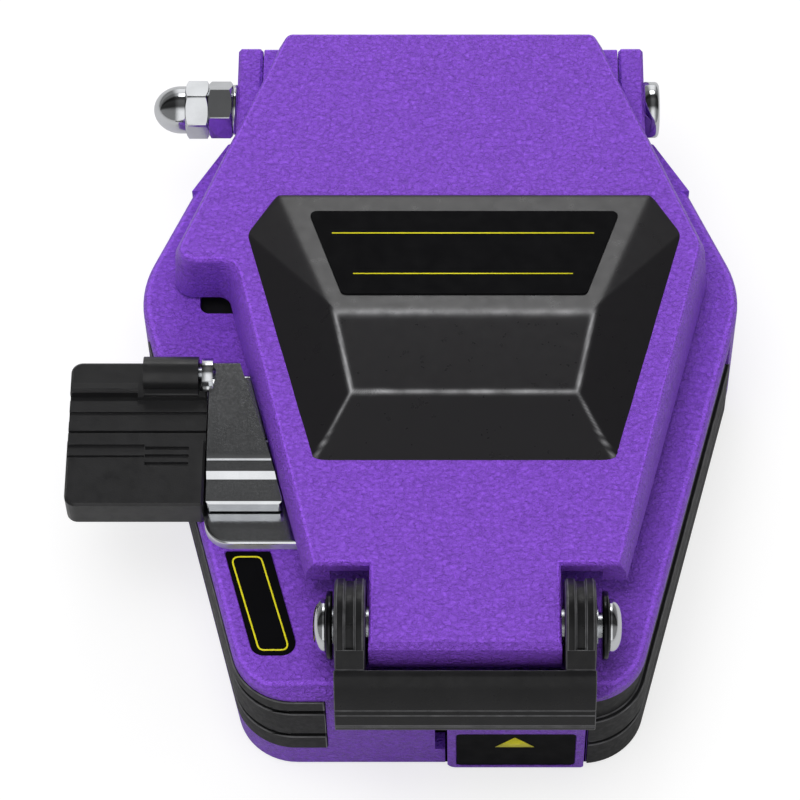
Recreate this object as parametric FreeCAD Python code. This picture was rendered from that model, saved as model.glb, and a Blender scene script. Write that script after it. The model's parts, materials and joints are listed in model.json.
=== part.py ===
"""Fibre cleaver: a cast body with a hinged lid, a sliding blade carriage and a fibre holder.

Millimetres, +Z up, +Y towards the lid hinge, X across. The origin is on the underside
of the rubber pad, on the middle plane of the body. Each piece is written as its own
STEP file, in the closed position: lid down, latch down, slider out, holder flap down.
"""
import FreeCAD, Part
import math
import os
from FreeCAD import Vector

# ------------------------------------------------------------------ fits and gaps
running_fit = 0.05       # radial clearance of a shaft that turns in a bore
thread_fit = 0.02        # radial clearance drawn at a screwed or glued joint
moving_gap = 0.3         # least gap between pieces that move past each other
tip_room = 0.2           # room past the tip of a screw in a blind hole
seat_gap = 0.1           # gap round a plate that drops into a recess
join_depth = 0.5         # how far a joined block reaches into its neighbour

# ------------------------------------------------------------------ body
body_bottom = 0.3
body_top = 21.0
body_wall = 2.4
body_roof = 2.0
body_round = 1.4
front_y = -43.0
front_half = 24.8        # where the front face and a side would meet in a sharp corner
front_bevel = 1.7        # flat bevel along the top of the front face
front_corner_r = 8.0
wide_half = 40.85        # the sharp corner that the large side radius rounds off
wide_y = 17.15
wide_r = 14.0
shoulder_half = 32.0
shoulder_y = 37.3
neck_step = 0.6
neck_half = 27.9
neck_y = 43.0
neck_root_y = 33.0
rear_y = 52.9
rear_corner_r = 1.0
cavity_rear_y = 30.5
low_cavity_top = 10.7

# ------------------------------------------------------------------ bottom cover and pad
pad_t = 0.9
pad_inset = 2.2
pad_front_y = -28.6        # the pad stops behind the front screws
cover_t = 1.6
cover_inset = 1.2
post_r = 3.0
post_front = (22.3, -33.0)
post_rear_inset = 9.85
post_rear_y = 22.0
cover_screw_r = 1.25
cover_screw_head_r = 2.6
cover_screw_head_t = 1.35
cover_screw_length = 8.0
pad_hole_r = 3.2

# ------------------------------------------------------------------ lid hinge
hinge_y = 44.4
hinge_z = 24.0
lug_t = 3.4
lug_front_y = 36.0
lug_root_z = 15.0
lug_top = 27.0
lug_edge_r = 0.8
lug_side_edge = 0.4
relief_r = 11.1
bolt_r = 2.0
bolt_head_r = 3.85
bolt_head_t = 2.1
bolt_socket_flats = 2.5
bolt_end = -37.9
spot_face_r = 4.8        # relief in the body round the nuts and the bolt head
washer_r = 3.5
washer_t = 0.9
nut_flats = 7.0
nut_t = 3.2
acorn_hex_t = 3.0
acorn_dome_r = 3.25
acorn_skirt_t = 1.4
acorn_dome_t = 4.2
hex_turn = 25.0

# ------------------------------------------------------------------ lid
lid_top = 31.0
lid_plate_t = 2.0
lid_wall = 2.0
lid_rear_y = 52.5
lid_shoulder_drop = 2.3  # the sides slope out steeply over this height
lid_shoulder_out = 0.9
lid_draft = 1.5          # how far out the side skirts are at the bottom
lid_front_y = -29.6
lid_centre_x = 3.45      # middle of the front half of the lid
lid_front_half = 19.3
lid_right_wide = (34.5, 18.3)
lid_rear_inset = 7.1     # from the outside of a lug to the lid's rear corner
lid_wing = (-35.4, 15.6)
lid_throat_x = -26.9     # where the wing's front edge meets the left side
skirt_bottom = 21.6
skirt_front_bottom = 26.6  # tips of the side skirts, at the front
front_lip_bottom = 29.0
lid_edge_round = 0.8
lug_cover_t = 1.2        # thickness of the lid where it passes over the lugs
knuckle_r = 5.0
knuckle_length = 11.0
knuckle_web = 8.0
cheek_w = 4.5            # width of the lid's cheek beside each lug
cheek_inset = 0.2
cheek_r = 0.8

# ------------------------------------------------------------------ latch axle and bail
latch_x = 3.3
latch_y = -36.5
latch_z = 27.3
tongue_half = 12.1
tongue_front_y = -41.35
tongue_edge_r = 0.7
tongue_root = 4.0        # how far back the tongue starts under the lid
tongue_nose = 0.8        # flat bevel on its front edge
tongue_barrel_r = 5.2
axle_r = 2.5
axle_neck_r = 1.7
axle_gap = 0.25
axle_neck_length = 0.55
ear_gap = 0.35
ear_t = 4.0
ear_r = 6.0
ear_rib_t = 1.3
ear_rib_depth = 0.35
bail_inner_r = 6.9
bail_rear_y = -43.35
bail_top = 28.7
bail_bottom = 15.0
# corners of the bail's section: in front of its rear face and below its top
bail_shoulder = [(0.9, 0.1), (1.9, 1.2), (2.8, 3.2), (3.5, 5.6), (4.05, 8.2), (4.05, 10.4), (3.65, 11.2)]
# in front of its rear face and above its bottom
bail_toe = [(2.55, 1.0), (1.85, 0.0), (0.6, 0.0), (0.0, 0.5)]
bail_tie_y = -41.5       # the ears run on into the bar from here
bail_tie_z = 30.6
latch_washer_r = 4.4
latch_washer_t = 0.8
latch_head_r = 3.45
latch_head_t = 1.7
latch_thread_r = 1.1
latch_thread_length = 5.0

# ------------------------------------------------------------------ cap on the lid
cap_x = 3.2
cap_rear_y = 25.85
cap_rear_half = 25.0
cap_wide_y = 19.7
cap_wide_half = 28.8
cap_front_y = -14.7
cap_front_half = 20.2
cap_rear_rise = 0.4
cap_rear_slope = (0.3, 0.35)   # across and along, from the foot to the crown at the rear
cap_ridge_y = 5.5
cap_ridge_half = 17.2
cap_ridge_z = 34.4
cap_brow_y = -6.3
cap_brow_half = 14.5
cap_brow_z = 34.15
cap_label_t = 0.2
cap_label_start = 2.9    # along the sloping face, from its rear edge
cap_label_end = 17.3
cap_label_rear_half = 20.7
cap_label_front_half = 16.0
cap_screw_x = 15.0
cap_screw_y = 10.0
cap_screw_bite = 1.6     # depth of the screw holes in the cap
small_head_r = 2.1
small_head_t = 1.2
small_shank_r = 1.0
slot_share = 0.12        # half the width of a driver slot, as a share of the head's radius

# ------------------------------------------------------------------ slider and blade
push_left = 1.0
push_right = 18.8
push_bottom = 0.8
push_top = 13.0
push_proud = 1.0
push_t = 3.0
push_label_border = 1.1
push_label_top = 11.1
push_label_t = 0.2
push_label_depth = 0.3
side_slot_left = -0.6
side_slot_bottom = 4.4
side_slot_top = 10.5
slider_travel = 20.0
rail_head_w = 9.0
rail_neck_w = 6.0
rail_neck_h = 1.5
rail_head_h = 2.0
rail_front_y = -19.0
rail_rear_y = 29.5
rail_fit = 0.08
rail_screw_inset = 8.0
rail_screw_rise = 2.8    # how far a screw goes into the rail
carriage_w = 15.6
carriage_front_y = -27.5
carriage_rear_y = 5.0
carriage_lift = 0.4
carriage_top = 11.0
arm_w = 13.0
arm_top = 10.0
blade_x = 10.0
blade_rest_y = -17.0
blade_z = 16.2
blade_r = 8.0
blade_t = 1.0
blade_bevel = 0.9
blade_bore_r = 3.0
hub_flange_r = 4.5
hub_side_gap = 0.3
cheek_t = 2.8
cheek_half = 4.2
cheek_top_r = 2.4
blade_axle_r = 1.25
axle_head_r = 2.2
axle_head_t = 1.4
blade_slot_w = 4.4
spring_x = -1.6
spring_z = 7.5
spring_r = 2.0
spring_wire = 0.5
spring_turns = 13
wire_steps = 8           # straight steps in one turn of a coil
spring_front_y = -35.0
spring_rear_y = 1.5
spring_pin_r = 0.9

# ------------------------------------------------------------------ fibre clamps
fibre_y = -7.0
pad_gap_to_blade = 0.4
clamp_length = 7.4
clamp_block_half = 4.0
clamp_block_t = 1.9
clamp_pad_half = 3.0
clamp_pad_t = 1.0
clamp_open_gap = 0.3
clamp_foot_t = 1.0
clamp_plate_t = 1.4
clamp_plate_half = 6.0
guide_offset = 13.0
guide_r = 1.2
guide_head_r = 2.0
guide_head_t = 1.2
clamp_ear_r = 2.4
anvil_half_x = 1.4
anvil_half_y = 3.0
anvil_bottom = 24.8
anvil_screw_depth = 2.8
clamp_spring_r = 2.0
clamp_spring_wire = 0.4
clamp_spring_turns = 2.6
spring_pocket_depth = 1.2

# ------------------------------------------------------------------ platform, holder and flap
platform_t = 1.6
platform_left = -30.5
platform_right = -9.0
platform_front_y = -22.3
platform_rear_y = 3.0
platform_corner_r = 3.5
platform_edge_r = 0.5
tongue_left = -43.0
tongue_plate_half = 4.5
platform_screw_x = -13.0
platform_screw_front_y = -18.0
platform_screw_rear_y = -1.0
holder_left = -48.5
holder_front_y = -18.3
holder_rear_y = 3.1
holder_t = 4.6
holder_corner_r = 1.5
holder_edge = 0.3
holder_screw_x = -39.0
holder_head_r = 1.6
holder_head_t = 0.9
holder_screw_bite = 1.6  # how far the screws reach up into the holder
holder_screw_step = 5.0
holder_channel_front = -8.8
holder_channel_rear = -2.2
holder_channel_depth = 0.7
holder_v = (0.45, 0.35, 1.15)    # V groove for the fibre: reach to the front, to the rear, depth
# grooves in the holder's top: front, rear, depth, lean of the walls
holder_long_groove = (-5.6, -4.0, 1.0, 0.1)
holder_left_grooves = [(-1.6, 0.0, 0.35, 0.6), (-2.5, -1.5, 1.1, 0.15)]
holder_front_grooves = [(-10.5, -9.3, 0.35, 0.15), (-11.3, -10.9, 0.3, 0.15)]
holder_slits = [(-10.2, -9.6, 0.35, 0.15), (-11.35, -10.75, 0.35, 0.15), (-12.5, -11.9, 0.35, 0.15)]
holder_slit_right = -32.6
holder_split_gap = 1.2
holder_split_x = -39.6
flap_axis_y = 0.8
flap_axis_z = 26.6
barrel_r = 2.2
barrel_left = -38.8
barrel_right = -31.6
flap_pin_r = 0.8
flap_ear_r = 2.0
flap_ear_t = 0.9
flap_left = -30.2
flap_front_right = -20.1
flap_bend = (-21.8, -12.0)   # the right edge turns here to follow the lid
flap_rear_right = -26.4
flap_front_y = -17.8
flap_rear_y = 2.9
flap_top = 26.5
flap_bottom = 24.5
flap_edge = 0.5
flap_land_y = -10.5          # the flat top ends here
flap_crease_y = -11.8
flap_ramp_y = -13.5
flap_tread_y = -14.3
flap_tread_z = 25.2
flap_lip_bottom = 23.0
flap_lip_t = 1.5
flap_pad_inset = 0.7
flap_pad_right = -25.6
flap_pad_half = 4.5
flap_pad_gap = 0.3

# ------------------------------------------------------------------ grips, label, insert
grip_depth = 1.0
grip_proud = 0.25
grip_rear_y = 10.5
left_grip_x = -14.6
left_grip_bottom = 5.2
left_grip_top = 18.7
right_grip_x = 19.25
right_grip_step = 12.7
right_grip_top = 18.4
grip_band_inset = 0.45
grip_groove_w = 1.1
grip_groove_depth = 0.6
label_rear_y = -22.5
label_front_y = -37.6
label_left = -27.95
label_w = 6.15
label_lean = 4.15
label_t = 0.2
label_depth = 0.3
insert_left = -32.3
insert_front_y = 13.4
insert_w = 12.0
insert_l = 14.0
insert_depth = 3.5
insert_t = 1.6
insert_wall = 1.5

# ------------------------------------------------------------------ sizes that follow
roof_under = body_top - body_roof
cover_top = pad_t + cover_t
lug_inner = neck_half - lug_t
lid_under = lid_top - lid_plate_t
lid_rear_half = neck_half - lid_rear_inset
tongue_left_x = latch_x - tongue_half
tongue_right_x = latch_x + tongue_half
ear_inner = tongue_half + ear_gap
ear_outer = ear_inner + ear_t
axle_end = ear_outer + axle_gap
push_front_y = front_y - push_proud
push_rear_y = push_front_y + push_t
platform_top = body_top + platform_t
holder_top = body_top + holder_t
block_top = body_top + clamp_block_t
lower_pad_top = block_top + clamp_pad_t
upper_pad_bottom = lower_pad_top + clamp_open_gap
foot_bottom = upper_pad_bottom + clamp_pad_t
plate_bottom = foot_bottom + clamp_foot_t
plate_top = plate_bottom + clamp_plate_t
clamp_inner = blade_slot_w / 2 + pad_gap_to_blade
cheek_inner = blade_slot_w / 2 - 0.2
rail_screw_ys = (rail_front_y + rail_screw_inset, rail_rear_y - rail_screw_inset)
holder_screw_ys = (fibre_y - holder_screw_step / 2, fibre_y + holder_screw_step / 2)
eps = 1.0                # how far a cutting tool runs past the face that it cuts


# ================================================================== helpers
def box(x0, x1, y0, y1, z0, z1):
    return Part.makeBox(x1 - x0, y1 - y0, z1 - z0, Vector(x0, y0, z0))


def rod(radius, start, end):
    """Solid cylinder between two points."""
    a = Vector(*start)
    along = Vector(*end) - a
    return Part.makeCylinder(radius, along.Length, a, along)


def rod_x(radius, x0, x1, y, z):
    return rod(radius, (x0, y, z), (x1, y, z))


def rod_z(radius, x, y, z0, z1):
    return rod(radius, (x, y, z0), (x, y, z1))


def join(shapes):
    """Union of touching shapes, with shared flat faces merged."""
    shapes = list(shapes)
    whole = shapes[0]
    if len(shapes) > 1:
        whole = whole.multiFuse(shapes[1:])
    return whole.removeSplitter()


def cut(shape, tools):
    for tool in tools:
        shape = shape.cut(tool)
    return shape


def corner_wire(corners, z=0.0):
    """Closed wire at height z through (x, y, radius) corners, each with a tangent arc."""
    edges = []
    starts, ends = [], []
    for i, (x, y, r) in enumerate(corners):
        here = Vector(x, y, z)
        before = Vector(*corners[i - 1][:2], z) - here
        after = Vector(*corners[(i + 1) % len(corners)][:2], z) - here
        before.normalize()
        after.normalize()
        if r <= 0:
            starts.append(here)
            ends.append(here)
            edges.append(None)
            continue
        half = before.getAngle(after) / 2
        run = r / math.tan(half)
        towards = before + after
        towards.normalize()
        middle = here + towards * (r / math.sin(half) - r)
        starts.append(here + before * run)
        ends.append(here + after * run)
        edges.append(Part.Arc(starts[-1], middle, ends[-1]).toShape())
    wire = []
    for i, arc in enumerate(edges):
        if arc is not None:
            wire.append(arc)
        nxt = (i + 1) % len(corners)
        if (starts[nxt] - ends[i]).Length > 1e-6:
            wire.append(Part.LineSegment(ends[i], starts[nxt]).toShape())
    return Part.Wire(wire)


def prism(corners, z0, z1):
    """Upright solid with rounded corners; corners are (x, y, radius), anticlockwise."""
    return Part.Face(corner_wire(corners, z0)).extrude(Vector(0, 0, z1 - z0))


def moved_out(corners, amounts):
    """Corners with each edge moved outwards; amounts has one value per edge, or is one value."""
    n = len(corners)
    if not isinstance(amounts, (list, tuple)):
        amounts = [amounts] * n
    lines = []
    for i in range(n):
        a = Vector(*corners[i][:2], 0)
        b = Vector(*corners[(i + 1) % n][:2], 0)
        run = b - a
        run.normalize()
        out = Vector(run.y, -run.x, 0)
        lines.append((a + out * amounts[i], run))
    result = []
    for i in range(n):
        (p, u), (q, v) = lines[i - 1], lines[i]
        cross = u.x * v.y - u.y * v.x
        along = ((q.x - p.x) * v.y - (q.y - p.y) * v.x) / cross
        x, y = p.x + u.x * along, p.y + u.y * along
        grow = (amounts[i - 1] + amounts[i]) / 2 * (1 if cross > 0 else -1)
        r = corners[i][2]
        result.append((x, y, max(r + grow, 0.3) if r > 0 else 0))
    return result


def mirrored(right_side):
    """A closed outline from its right-hand corners, listed from front to rear."""
    return right_side + [(-x, y, r) for x, y, r in reversed(right_side)]


def profile_yz(points, x0, x1):
    """Solid between x0 and x1 whose section is a polygon of (y, z) points."""
    loop = [Vector(x0, y, z) for y, z in points]
    return Part.Face(Part.makePolygon(loop + loop[:1])).extrude(Vector(x1 - x0, 0, 0))


def turned(points, origin, axis):
    """Solid of revolution: (distance along the axis, radius) points, closed at the axis."""
    axis = Vector(*axis)
    side = Vector(0, 0, 1) if abs(axis.z) < 0.5 else Vector(1, 0, 0)
    loop = [Vector(*origin) + axis * t + side * r for t, r in points]
    face = Part.Face(Part.makePolygon(loop + loop[:1]))
    return face.revolve(Vector(*origin), axis, 360)


def hexagon_x(flats, x0, x1, y, z, turn=hex_turn):
    """Hexagonal prism along X."""
    reach = flats / math.sqrt(3)
    loop = []
    for i in range(7):
        a = math.radians(turn + 60 * i)
        loop.append(Vector(x0, y + reach * math.cos(a), z + reach * math.sin(a)))
    return Part.Face(Part.makePolygon(loop)).extrude(Vector(x1 - x0, 0, 0))


def nut_blank(flats, x0, x1, y, z):
    """Hexagon with the turned chamfer of a nut on both ends."""
    flat_r = flats / 2
    point_r = flats / math.sqrt(3)
    rise = (point_r - flat_r) * math.tan(math.radians(30))
    t = x1 - x0
    barrel = [(0, 0), (0, flat_r), (rise, point_r), (t - rise, point_r), (t, flat_r), (t, 0)]
    return hexagon_x(flats, x0, x1, y, z).common(turned(barrel, (x0, y, z), (1, 0, 0)))


def rounded(shape, radius, wanted):
    """The shape with a fillet on every edge for which wanted(edge) is true."""
    return shape.makeFillet(radius, [e for e in shape.Edges if wanted(e)])


def steps(start, end):
    """Angles in radians from start to end degrees, evenly spaced, wire_steps to a turn."""
    count = max(2, round(abs(end - start) / 360 * wire_steps))
    return [math.radians(start + (end - start) * i / count) for i in range(count + 1)]


def bent_wire(points, thickness, sides):
    """Wire of polygon section along straight runs, mitred at each bend."""
    runs = [b - a for a, b in zip(points, points[1:])]
    for run in runs:
        run.normalize()
    across = runs[0].cross(Vector(0.3, 0.2, 1))
    across.normalize()
    other = runs[0].cross(across)
    turn = math.tau / sides
    ring = [points[0] + (across * math.cos(turn * i) + other * math.sin(turn * i)) * thickness / 2
            for i in range(sides)]
    faces = [Part.Face(Part.makePolygon(ring + ring[:1]))]
    for i, run in enumerate(runs):
        mitre = run + runs[i + 1] if i + 1 < len(runs) else run
        nxt = [p + run * ((points[i + 1] - p).dot(mitre) / run.dot(mitre)) for p in ring]
        for j in range(sides):
            k = (j + 1) % sides
            faces.append(Part.Face(Part.makePolygon([ring[j], ring[k], nxt[k], nxt[j], ring[j]])))
        ring = nxt
    faces.append(Part.Face(Part.makePolygon(ring + ring[:1])))
    shell = Part.Shell(faces)
    shell.sewShape()
    solid = Part.Solid(shell)
    if solid.Volume < 0:
        solid.reverse()
    return solid


def edge_at_height(edge, z):
    return all(abs(v.Z - z) < 1e-4 for v in edge.Vertexes)


def edge_along_x(edge):
    return abs(edge.Vertexes[0].X - edge.Vertexes[-1].X) > 1e-4


def countersunk_screw(x, y, head_z, tip_z, shank_r, head_r, head_t):
    """Countersunk screw along Z with its flat, slotted head face at head_z."""
    way = 1 if tip_z > head_z else -1
    length = abs(tip_z - head_z)
    points = [(0, 0), (0, head_r), (head_t, shank_r), (length, shank_r), (length, 0)]
    body = turned(points, (x, y, head_z), (0, 0, way))
    half_slot = head_r * slot_share
    z0, z1 = sorted((head_z - way * eps, head_z + way * head_t / 2))
    return body.cut(box(x - head_r, x + head_r, y - half_slot, y + half_slot, z0, z1))


def countersink(x, y, head_z, tip_z, shank_r, head_r, head_t):
    """The hole that takes a countersunk screw."""
    way = 1 if tip_z > head_z else -1
    length = abs(tip_z - head_z)
    points = [(-eps, 0), (-eps, head_r + thread_fit), (0, head_r + thread_fit),
              (head_t, shank_r + thread_fit), (length, shank_r + thread_fit), (length, 0)]
    return turned(points, (x, y, head_z), (0, 0, way))


def pan_screw(x, y, seat_z, tip_z, shank_r, head_r, head_t):
    """Slotted screw along Z with its flat seat at seat_z and its shank towards tip_z."""
    way = 1 if tip_z > seat_z else -1
    crown = seat_z - way * head_t
    half_slot = head_r * slot_share
    z0, z1 = sorted((crown - way * eps, crown + way * head_t / 2))
    head = rod_z(head_r, x, y, min(seat_z, crown), max(seat_z, crown))
    slot = box(x - head_r, x + head_r, y - half_slot, y + half_slot, z0, z1)
    return join([head.cut(slot), rod_z(shank_r, x, y, min(seat_z, tip_z), max(seat_z, tip_z))])


# ================================================================== body
main_outline = mirrored([
    (front_half, front_y, front_corner_r),
    (wide_half, wide_y, wide_r),
    (shoulder_half, shoulder_y, 0.8),
])
neck_slope = (shoulder_half - neck_step - neck_half) / (neck_y - shoulder_y)
neck_outline = mirrored([
    (neck_half + neck_slope * (neck_y - neck_root_y), neck_root_y, 0),
    (neck_half, neck_y, 1.5),
    (neck_half, rear_y, rear_corner_r),
])
post_rear = (wide_half - post_rear_inset, post_rear_y)
posts = [(side * x, y) for x, y in (post_front, post_rear) for side in (1, -1)]
platform_screws = [(platform_screw_x, platform_screw_front_y), (platform_screw_x, platform_screw_rear_y)]


def body_plan(inset, z0, z1):
    """Solid of the whole body's plan, inset from its outer face."""
    neck_insets = [-inset] * (len(neck_outline) - 1) + [0]
    return join([prism(moved_out(main_outline, -inset), z0, z1),
                 prism(moved_out(neck_outline, neck_insets), z0, z1)])


def push_channel(side_gap, front, rear, z0, z1):
    """Room that the push plate takes as it goes in."""
    return box(push_left - side_gap, push_right + side_gap, front, rear, z0, z1)


def label_outline(shrink):
    """Leaning label at the left of the fibre platform."""
    return moved_out([
        (label_left + label_lean, label_front_y, 1.9),
        (label_left + label_lean + label_w, label_front_y, 1.9),
        (label_left + label_w, label_rear_y, 0.3),
        (label_left, label_rear_y, 0.3),
    ], -shrink)


def insert_plan(shrink, z0, z1):
    corners = [(insert_left, insert_front_y, 1.3), (insert_left + insert_w, insert_front_y, 1.3),
               (insert_left + insert_w, insert_front_y + insert_l, 1.3),
               (insert_left, insert_front_y + insert_l, 1.3)]
    return prism(moved_out(corners, -shrink), z0, z1)


def grip_band(outer, inner, z0, z1):
    """A band that follows the body's outline between two insets (negative is proud)."""
    return prism(moved_out(main_outline, -outer), z0, z1).cut(
        prism(moved_out(main_outline, -inner), z0 - eps, z1 + eps))


def grip_side(side, edge_x, z0, z1):
    """The half-space block that bounds a grip: side is -1 for left and 1 for right."""
    x0, x1 = sorted((edge_x, side * (wide_half + 2)))
    return box(x0, x1, front_y - 2, grip_rear_y, z0, z1)


def grip_recess():
    gap = seat_gap
    left = grip_band(-eps, grip_depth + gap, left_grip_bottom - gap, left_grip_top + gap)
    left = left.common(grip_side(-1, left_grip_x + gap, 0, body_top))
    right = grip_band(-eps, grip_depth + gap, body_bottom - eps, right_grip_top + gap)
    right = right.common(grip_side(1, right_grip_x - gap, -eps, body_top))
    return [left, right]


def base_housing():
    main = prism(main_outline, body_bottom, body_top)
    main = main.cut(profile_yz([(front_y - eps, body_top - front_bevel - eps),
                                (front_y + front_bevel, body_top),
                                (front_y + front_bevel, body_top + eps), (front_y - eps, body_top + eps)],
                               -wide_half, wide_half))
    main = rounded(main, body_round, lambda e: edge_at_height(e, body_top))
    neck = prism(neck_outline, body_bottom, body_top)
    lugs = []
    for x0 in (-neck_half, lug_inner):
        lug = box(x0, x0 + lug_t, lug_front_y, rear_y, lug_root_z, lug_top)
        lug = rounded(lug, lug_edge_r, lambda e: edge_at_height(e, lug_top) and edge_along_x(e))
        rim = [e for e in lug.Edges
               if e.BoundBox.ZMin > lug_top - lug_edge_r - 0.01 and not edge_along_x(e)]
        lugs.append(lug.makeChamfer(lug_side_edge, rim))
    shell = join([main, neck] + lugs)
    relief = rod_x(relief_r, -lug_inner, lug_inner, hinge_y, hinge_z)
    shell = shell.cut(relief)
    main_hollow = prism(moved_out(main_outline, -body_wall), body_bottom - eps, roof_under)
    main_hollow = main_hollow.common(box(-wide_half, wide_half, front_y, cavity_rear_y, 0, roof_under))
    hollows = [main_hollow, body_plan(body_wall, body_bottom - eps, low_cavity_top),
               body_plan(cover_inset, body_bottom - eps, cover_top)]
    shell = cut(shell, hollows)
    added = [rod_z(post_r, x, y, cover_top, roof_under + join_depth) for x, y in posts]
    added += [rod_z(small_head_r + 0.6, x, y, roof_under - 4, roof_under + join_depth)
              for x, y in platform_screws]
    added.append(insert_plan(-insert_wall, body_top - insert_depth - insert_wall, roof_under + join_depth))
    added.append(rod_z(spring_pin_r + 0.4, spring_x, spring_front_y, spring_z - 1.5,
                       roof_under + join_depth))
    inside = prism(moved_out(main_outline, -0.5), 0, body_top)
    shell = join([shell] + [piece.common(inside) for piece in added])
    channel = push_channel(moving_gap, front_y - eps, front_y + body_wall + eps, body_bottom - eps,
                           push_top + moving_gap)
    side_slot = box(side_slot_left, push_left, front_y - eps, front_y + body_wall + eps,
                    side_slot_bottom, side_slot_top)
    blade_front = blade_rest_y - blade_r - moving_gap / 2
    blade_rear = blade_rest_y + slider_travel + blade_r + moving_gap / 2
    slot = box(blade_x - blade_slot_w / 2, blade_x + blade_slot_w / 2, blade_front, blade_rear,
               roof_under - eps, body_top + eps)
    tools = [channel, side_slot, slot, insert_plan(0, body_top - insert_depth, body_top + eps),
             prism(label_outline(0), body_top - label_depth, body_top + eps),
             rod_x(bolt_r + running_fit, -neck_half - eps, neck_half + eps, hinge_y, hinge_z),
             rod_x(spot_face_r, neck_half, wide_half, hinge_y, hinge_z),
             rod_x(spot_face_r, -wide_half, -neck_half, hinge_y, hinge_z)]
    tools += [rod_z(cover_screw_r + thread_fit, x, y, 0, pad_t + cover_screw_length + 0.5)
              for x, y in posts]
    tools += [rod_z(small_shank_r + thread_fit, x, y, roof_under - 3.5, body_top + eps)
              for x, y in platform_screws]
    return cut(shell, tools + grip_recess())


def bottom_cover():
    plate = body_plan(cover_inset + seat_gap, pad_t, cover_top)
    notch = push_channel(moving_gap * 2, front_y - eps, push_rear_y + slider_travel + moving_gap * 2,
                         0, cover_top + eps)
    holes = [countersink(x, y, pad_t, cover_top + eps, cover_screw_r, cover_screw_head_r,
                         cover_screw_head_t)
             for x, y in posts]
    holes += [countersink(blade_x, y, pad_t, cover_top + eps, small_shank_r, small_head_r, small_head_t)
              for y in rail_screw_ys]
    return cut(plate, [notch] + holes)


def bottom_cover_screws():
    return [countersunk_screw(x, y, pad_t, pad_t + cover_screw_length, cover_screw_r, cover_screw_head_r,
                              cover_screw_head_t) for x, y in posts]


def anti_slip_pad():
    plate = body_plan(pad_inset, 0, pad_t).common(box(-wide_half, wide_half, pad_front_y, rear_y, 0, pad_t))
    notch = push_channel(moving_gap * 3, front_y - eps, push_rear_y + slider_travel + moving_gap * 3,
                         -eps, pad_t + eps)
    holes = [rod_z(pad_hole_r, x, y, -eps, pad_t + eps) for x, y in posts if y > pad_front_y]
    return cut(plate, [notch] + holes)


def left_side_grip():
    band = grip_band(-grip_proud, grip_depth, left_grip_bottom, left_grip_top)
    band = band.common(grip_side(-1, left_grip_x, 0, body_top))
    step = (left_grip_top - left_grip_bottom) / 4
    grooves = [grip_band(-eps, grip_groove_depth - grip_proud, z, z + grip_groove_w)
               for z in (left_grip_bottom + step, left_grip_top - step)]
    return cut(band, grooves)


def right_side_grip():
    lower = grip_band(-grip_proud, grip_depth, body_bottom, right_grip_step)
    upper = grip_band(grip_band_inset, grip_depth, right_grip_step, right_grip_top)
    band = join([lower, upper]).common(grip_side(1, right_grip_x, 0, body_top))
    middle = (body_bottom + right_grip_step) / 2 - grip_groove_w / 2
    return cut(band, [grip_band(-eps, grip_groove_depth - grip_proud, middle, middle + grip_groove_w)])


def dust_label():
    bottom = body_top - label_depth
    return prism(label_outline(seat_gap), bottom, bottom + label_t)


def rest_insert():
    bottom = body_top - insert_depth
    return insert_plan(seat_gap, bottom, bottom + insert_t)


# ================================================================== hinge hardware
def hinge_bolt():
    shaft = rod_x(bolt_r, bolt_end, neck_half, hinge_y, hinge_z)
    t, r = bolt_head_t, bolt_head_r
    dome = [(0, 0), (0, r), (t * 0.25, r), (t * 0.65, r * 0.86), (t * 0.92, r * 0.62), (t, r * 0.5), (t, 0)]
    head = turned(dome, (neck_half, hinge_y, hinge_z), (1, 0, 0))
    socket = hexagon_x(bolt_socket_flats, neck_half + t * 0.35, neck_half + t + eps, hinge_y, hinge_z)
    return join([shaft, head.cut(socket)])


def hinge_washer():
    x1 = -neck_half
    bore = rod_x(bolt_r + running_fit, x1 - washer_t - eps, x1 + eps, hinge_y, hinge_z)
    return rod_x(washer_r, x1 - washer_t, x1, hinge_y, hinge_z).cut(bore)


def hinge_lock_nut():
    x1 = -neck_half - washer_t
    blank = nut_blank(nut_flats, x1 - nut_t, x1, hinge_y, hinge_z)
    return blank.cut(rod_x(bolt_r + thread_fit, x1 - nut_t - eps, x1 + eps, hinge_y, hinge_z))


def hinge_acorn_nut():
    x1 = -neck_half - washer_t - nut_t
    x0 = x1 - acorn_hex_t
    r, skirt, t = acorn_dome_r, acorn_skirt_t, acorn_dome_t
    dome = [(0, 0), (0, r), (skirt, r)]
    for a in (25, 50, 75, 90):
        rise = math.radians(a)
        dome.append((skirt + t * math.sin(rise), r * math.cos(rise) if a < 90 else 0))
    cap = turned(dome, (x0, hinge_y, hinge_z), (-1, 0, 0))
    blank = join([nut_blank(nut_flats, x0, x1, hinge_y, hinge_z), cap])
    return blank.cut(rod_x(bolt_r + thread_fit, bolt_end - 0.3, x1 + eps, hinge_y, hinge_z))


# ================================================================== lid
# edges in order: front, right side, rear right, rear, rear left, wing front, left side
lid_outline = [
    (lid_centre_x - lid_front_half, lid_front_y, 0),
    (lid_centre_x + lid_front_half, lid_front_y, 0),
    (lid_right_wide[0], lid_right_wide[1], 3.0),
    (lid_rear_half, lid_rear_y, 1.2),
    (-lid_rear_half, lid_rear_y, 1.2),
    (lid_wing[0], lid_wing[1], 2.0),
    (lid_throat_x, lid_wing[1], 2.5),
]
leaning = [0, 1, 1, 0, 1, 0, 1]      # the edges whose skirt leans out
guide_xs = (blade_x - guide_offset, blade_x + guide_offset)
cap_screws_at = [(cap_x - cap_screw_x, cap_screw_y), (cap_x + cap_screw_x, cap_screw_y)]


def lid_loft(corners, heights, leans):
    """Solid through the outline at each height, with its leaning edges moved out by each lean."""
    wires = [corner_wire(moved_out(corners, [edge * lean for edge in leaning]), z)
             for z, lean in zip(heights, leans)]
    return Part.makeLoft(wires, True, True)


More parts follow.
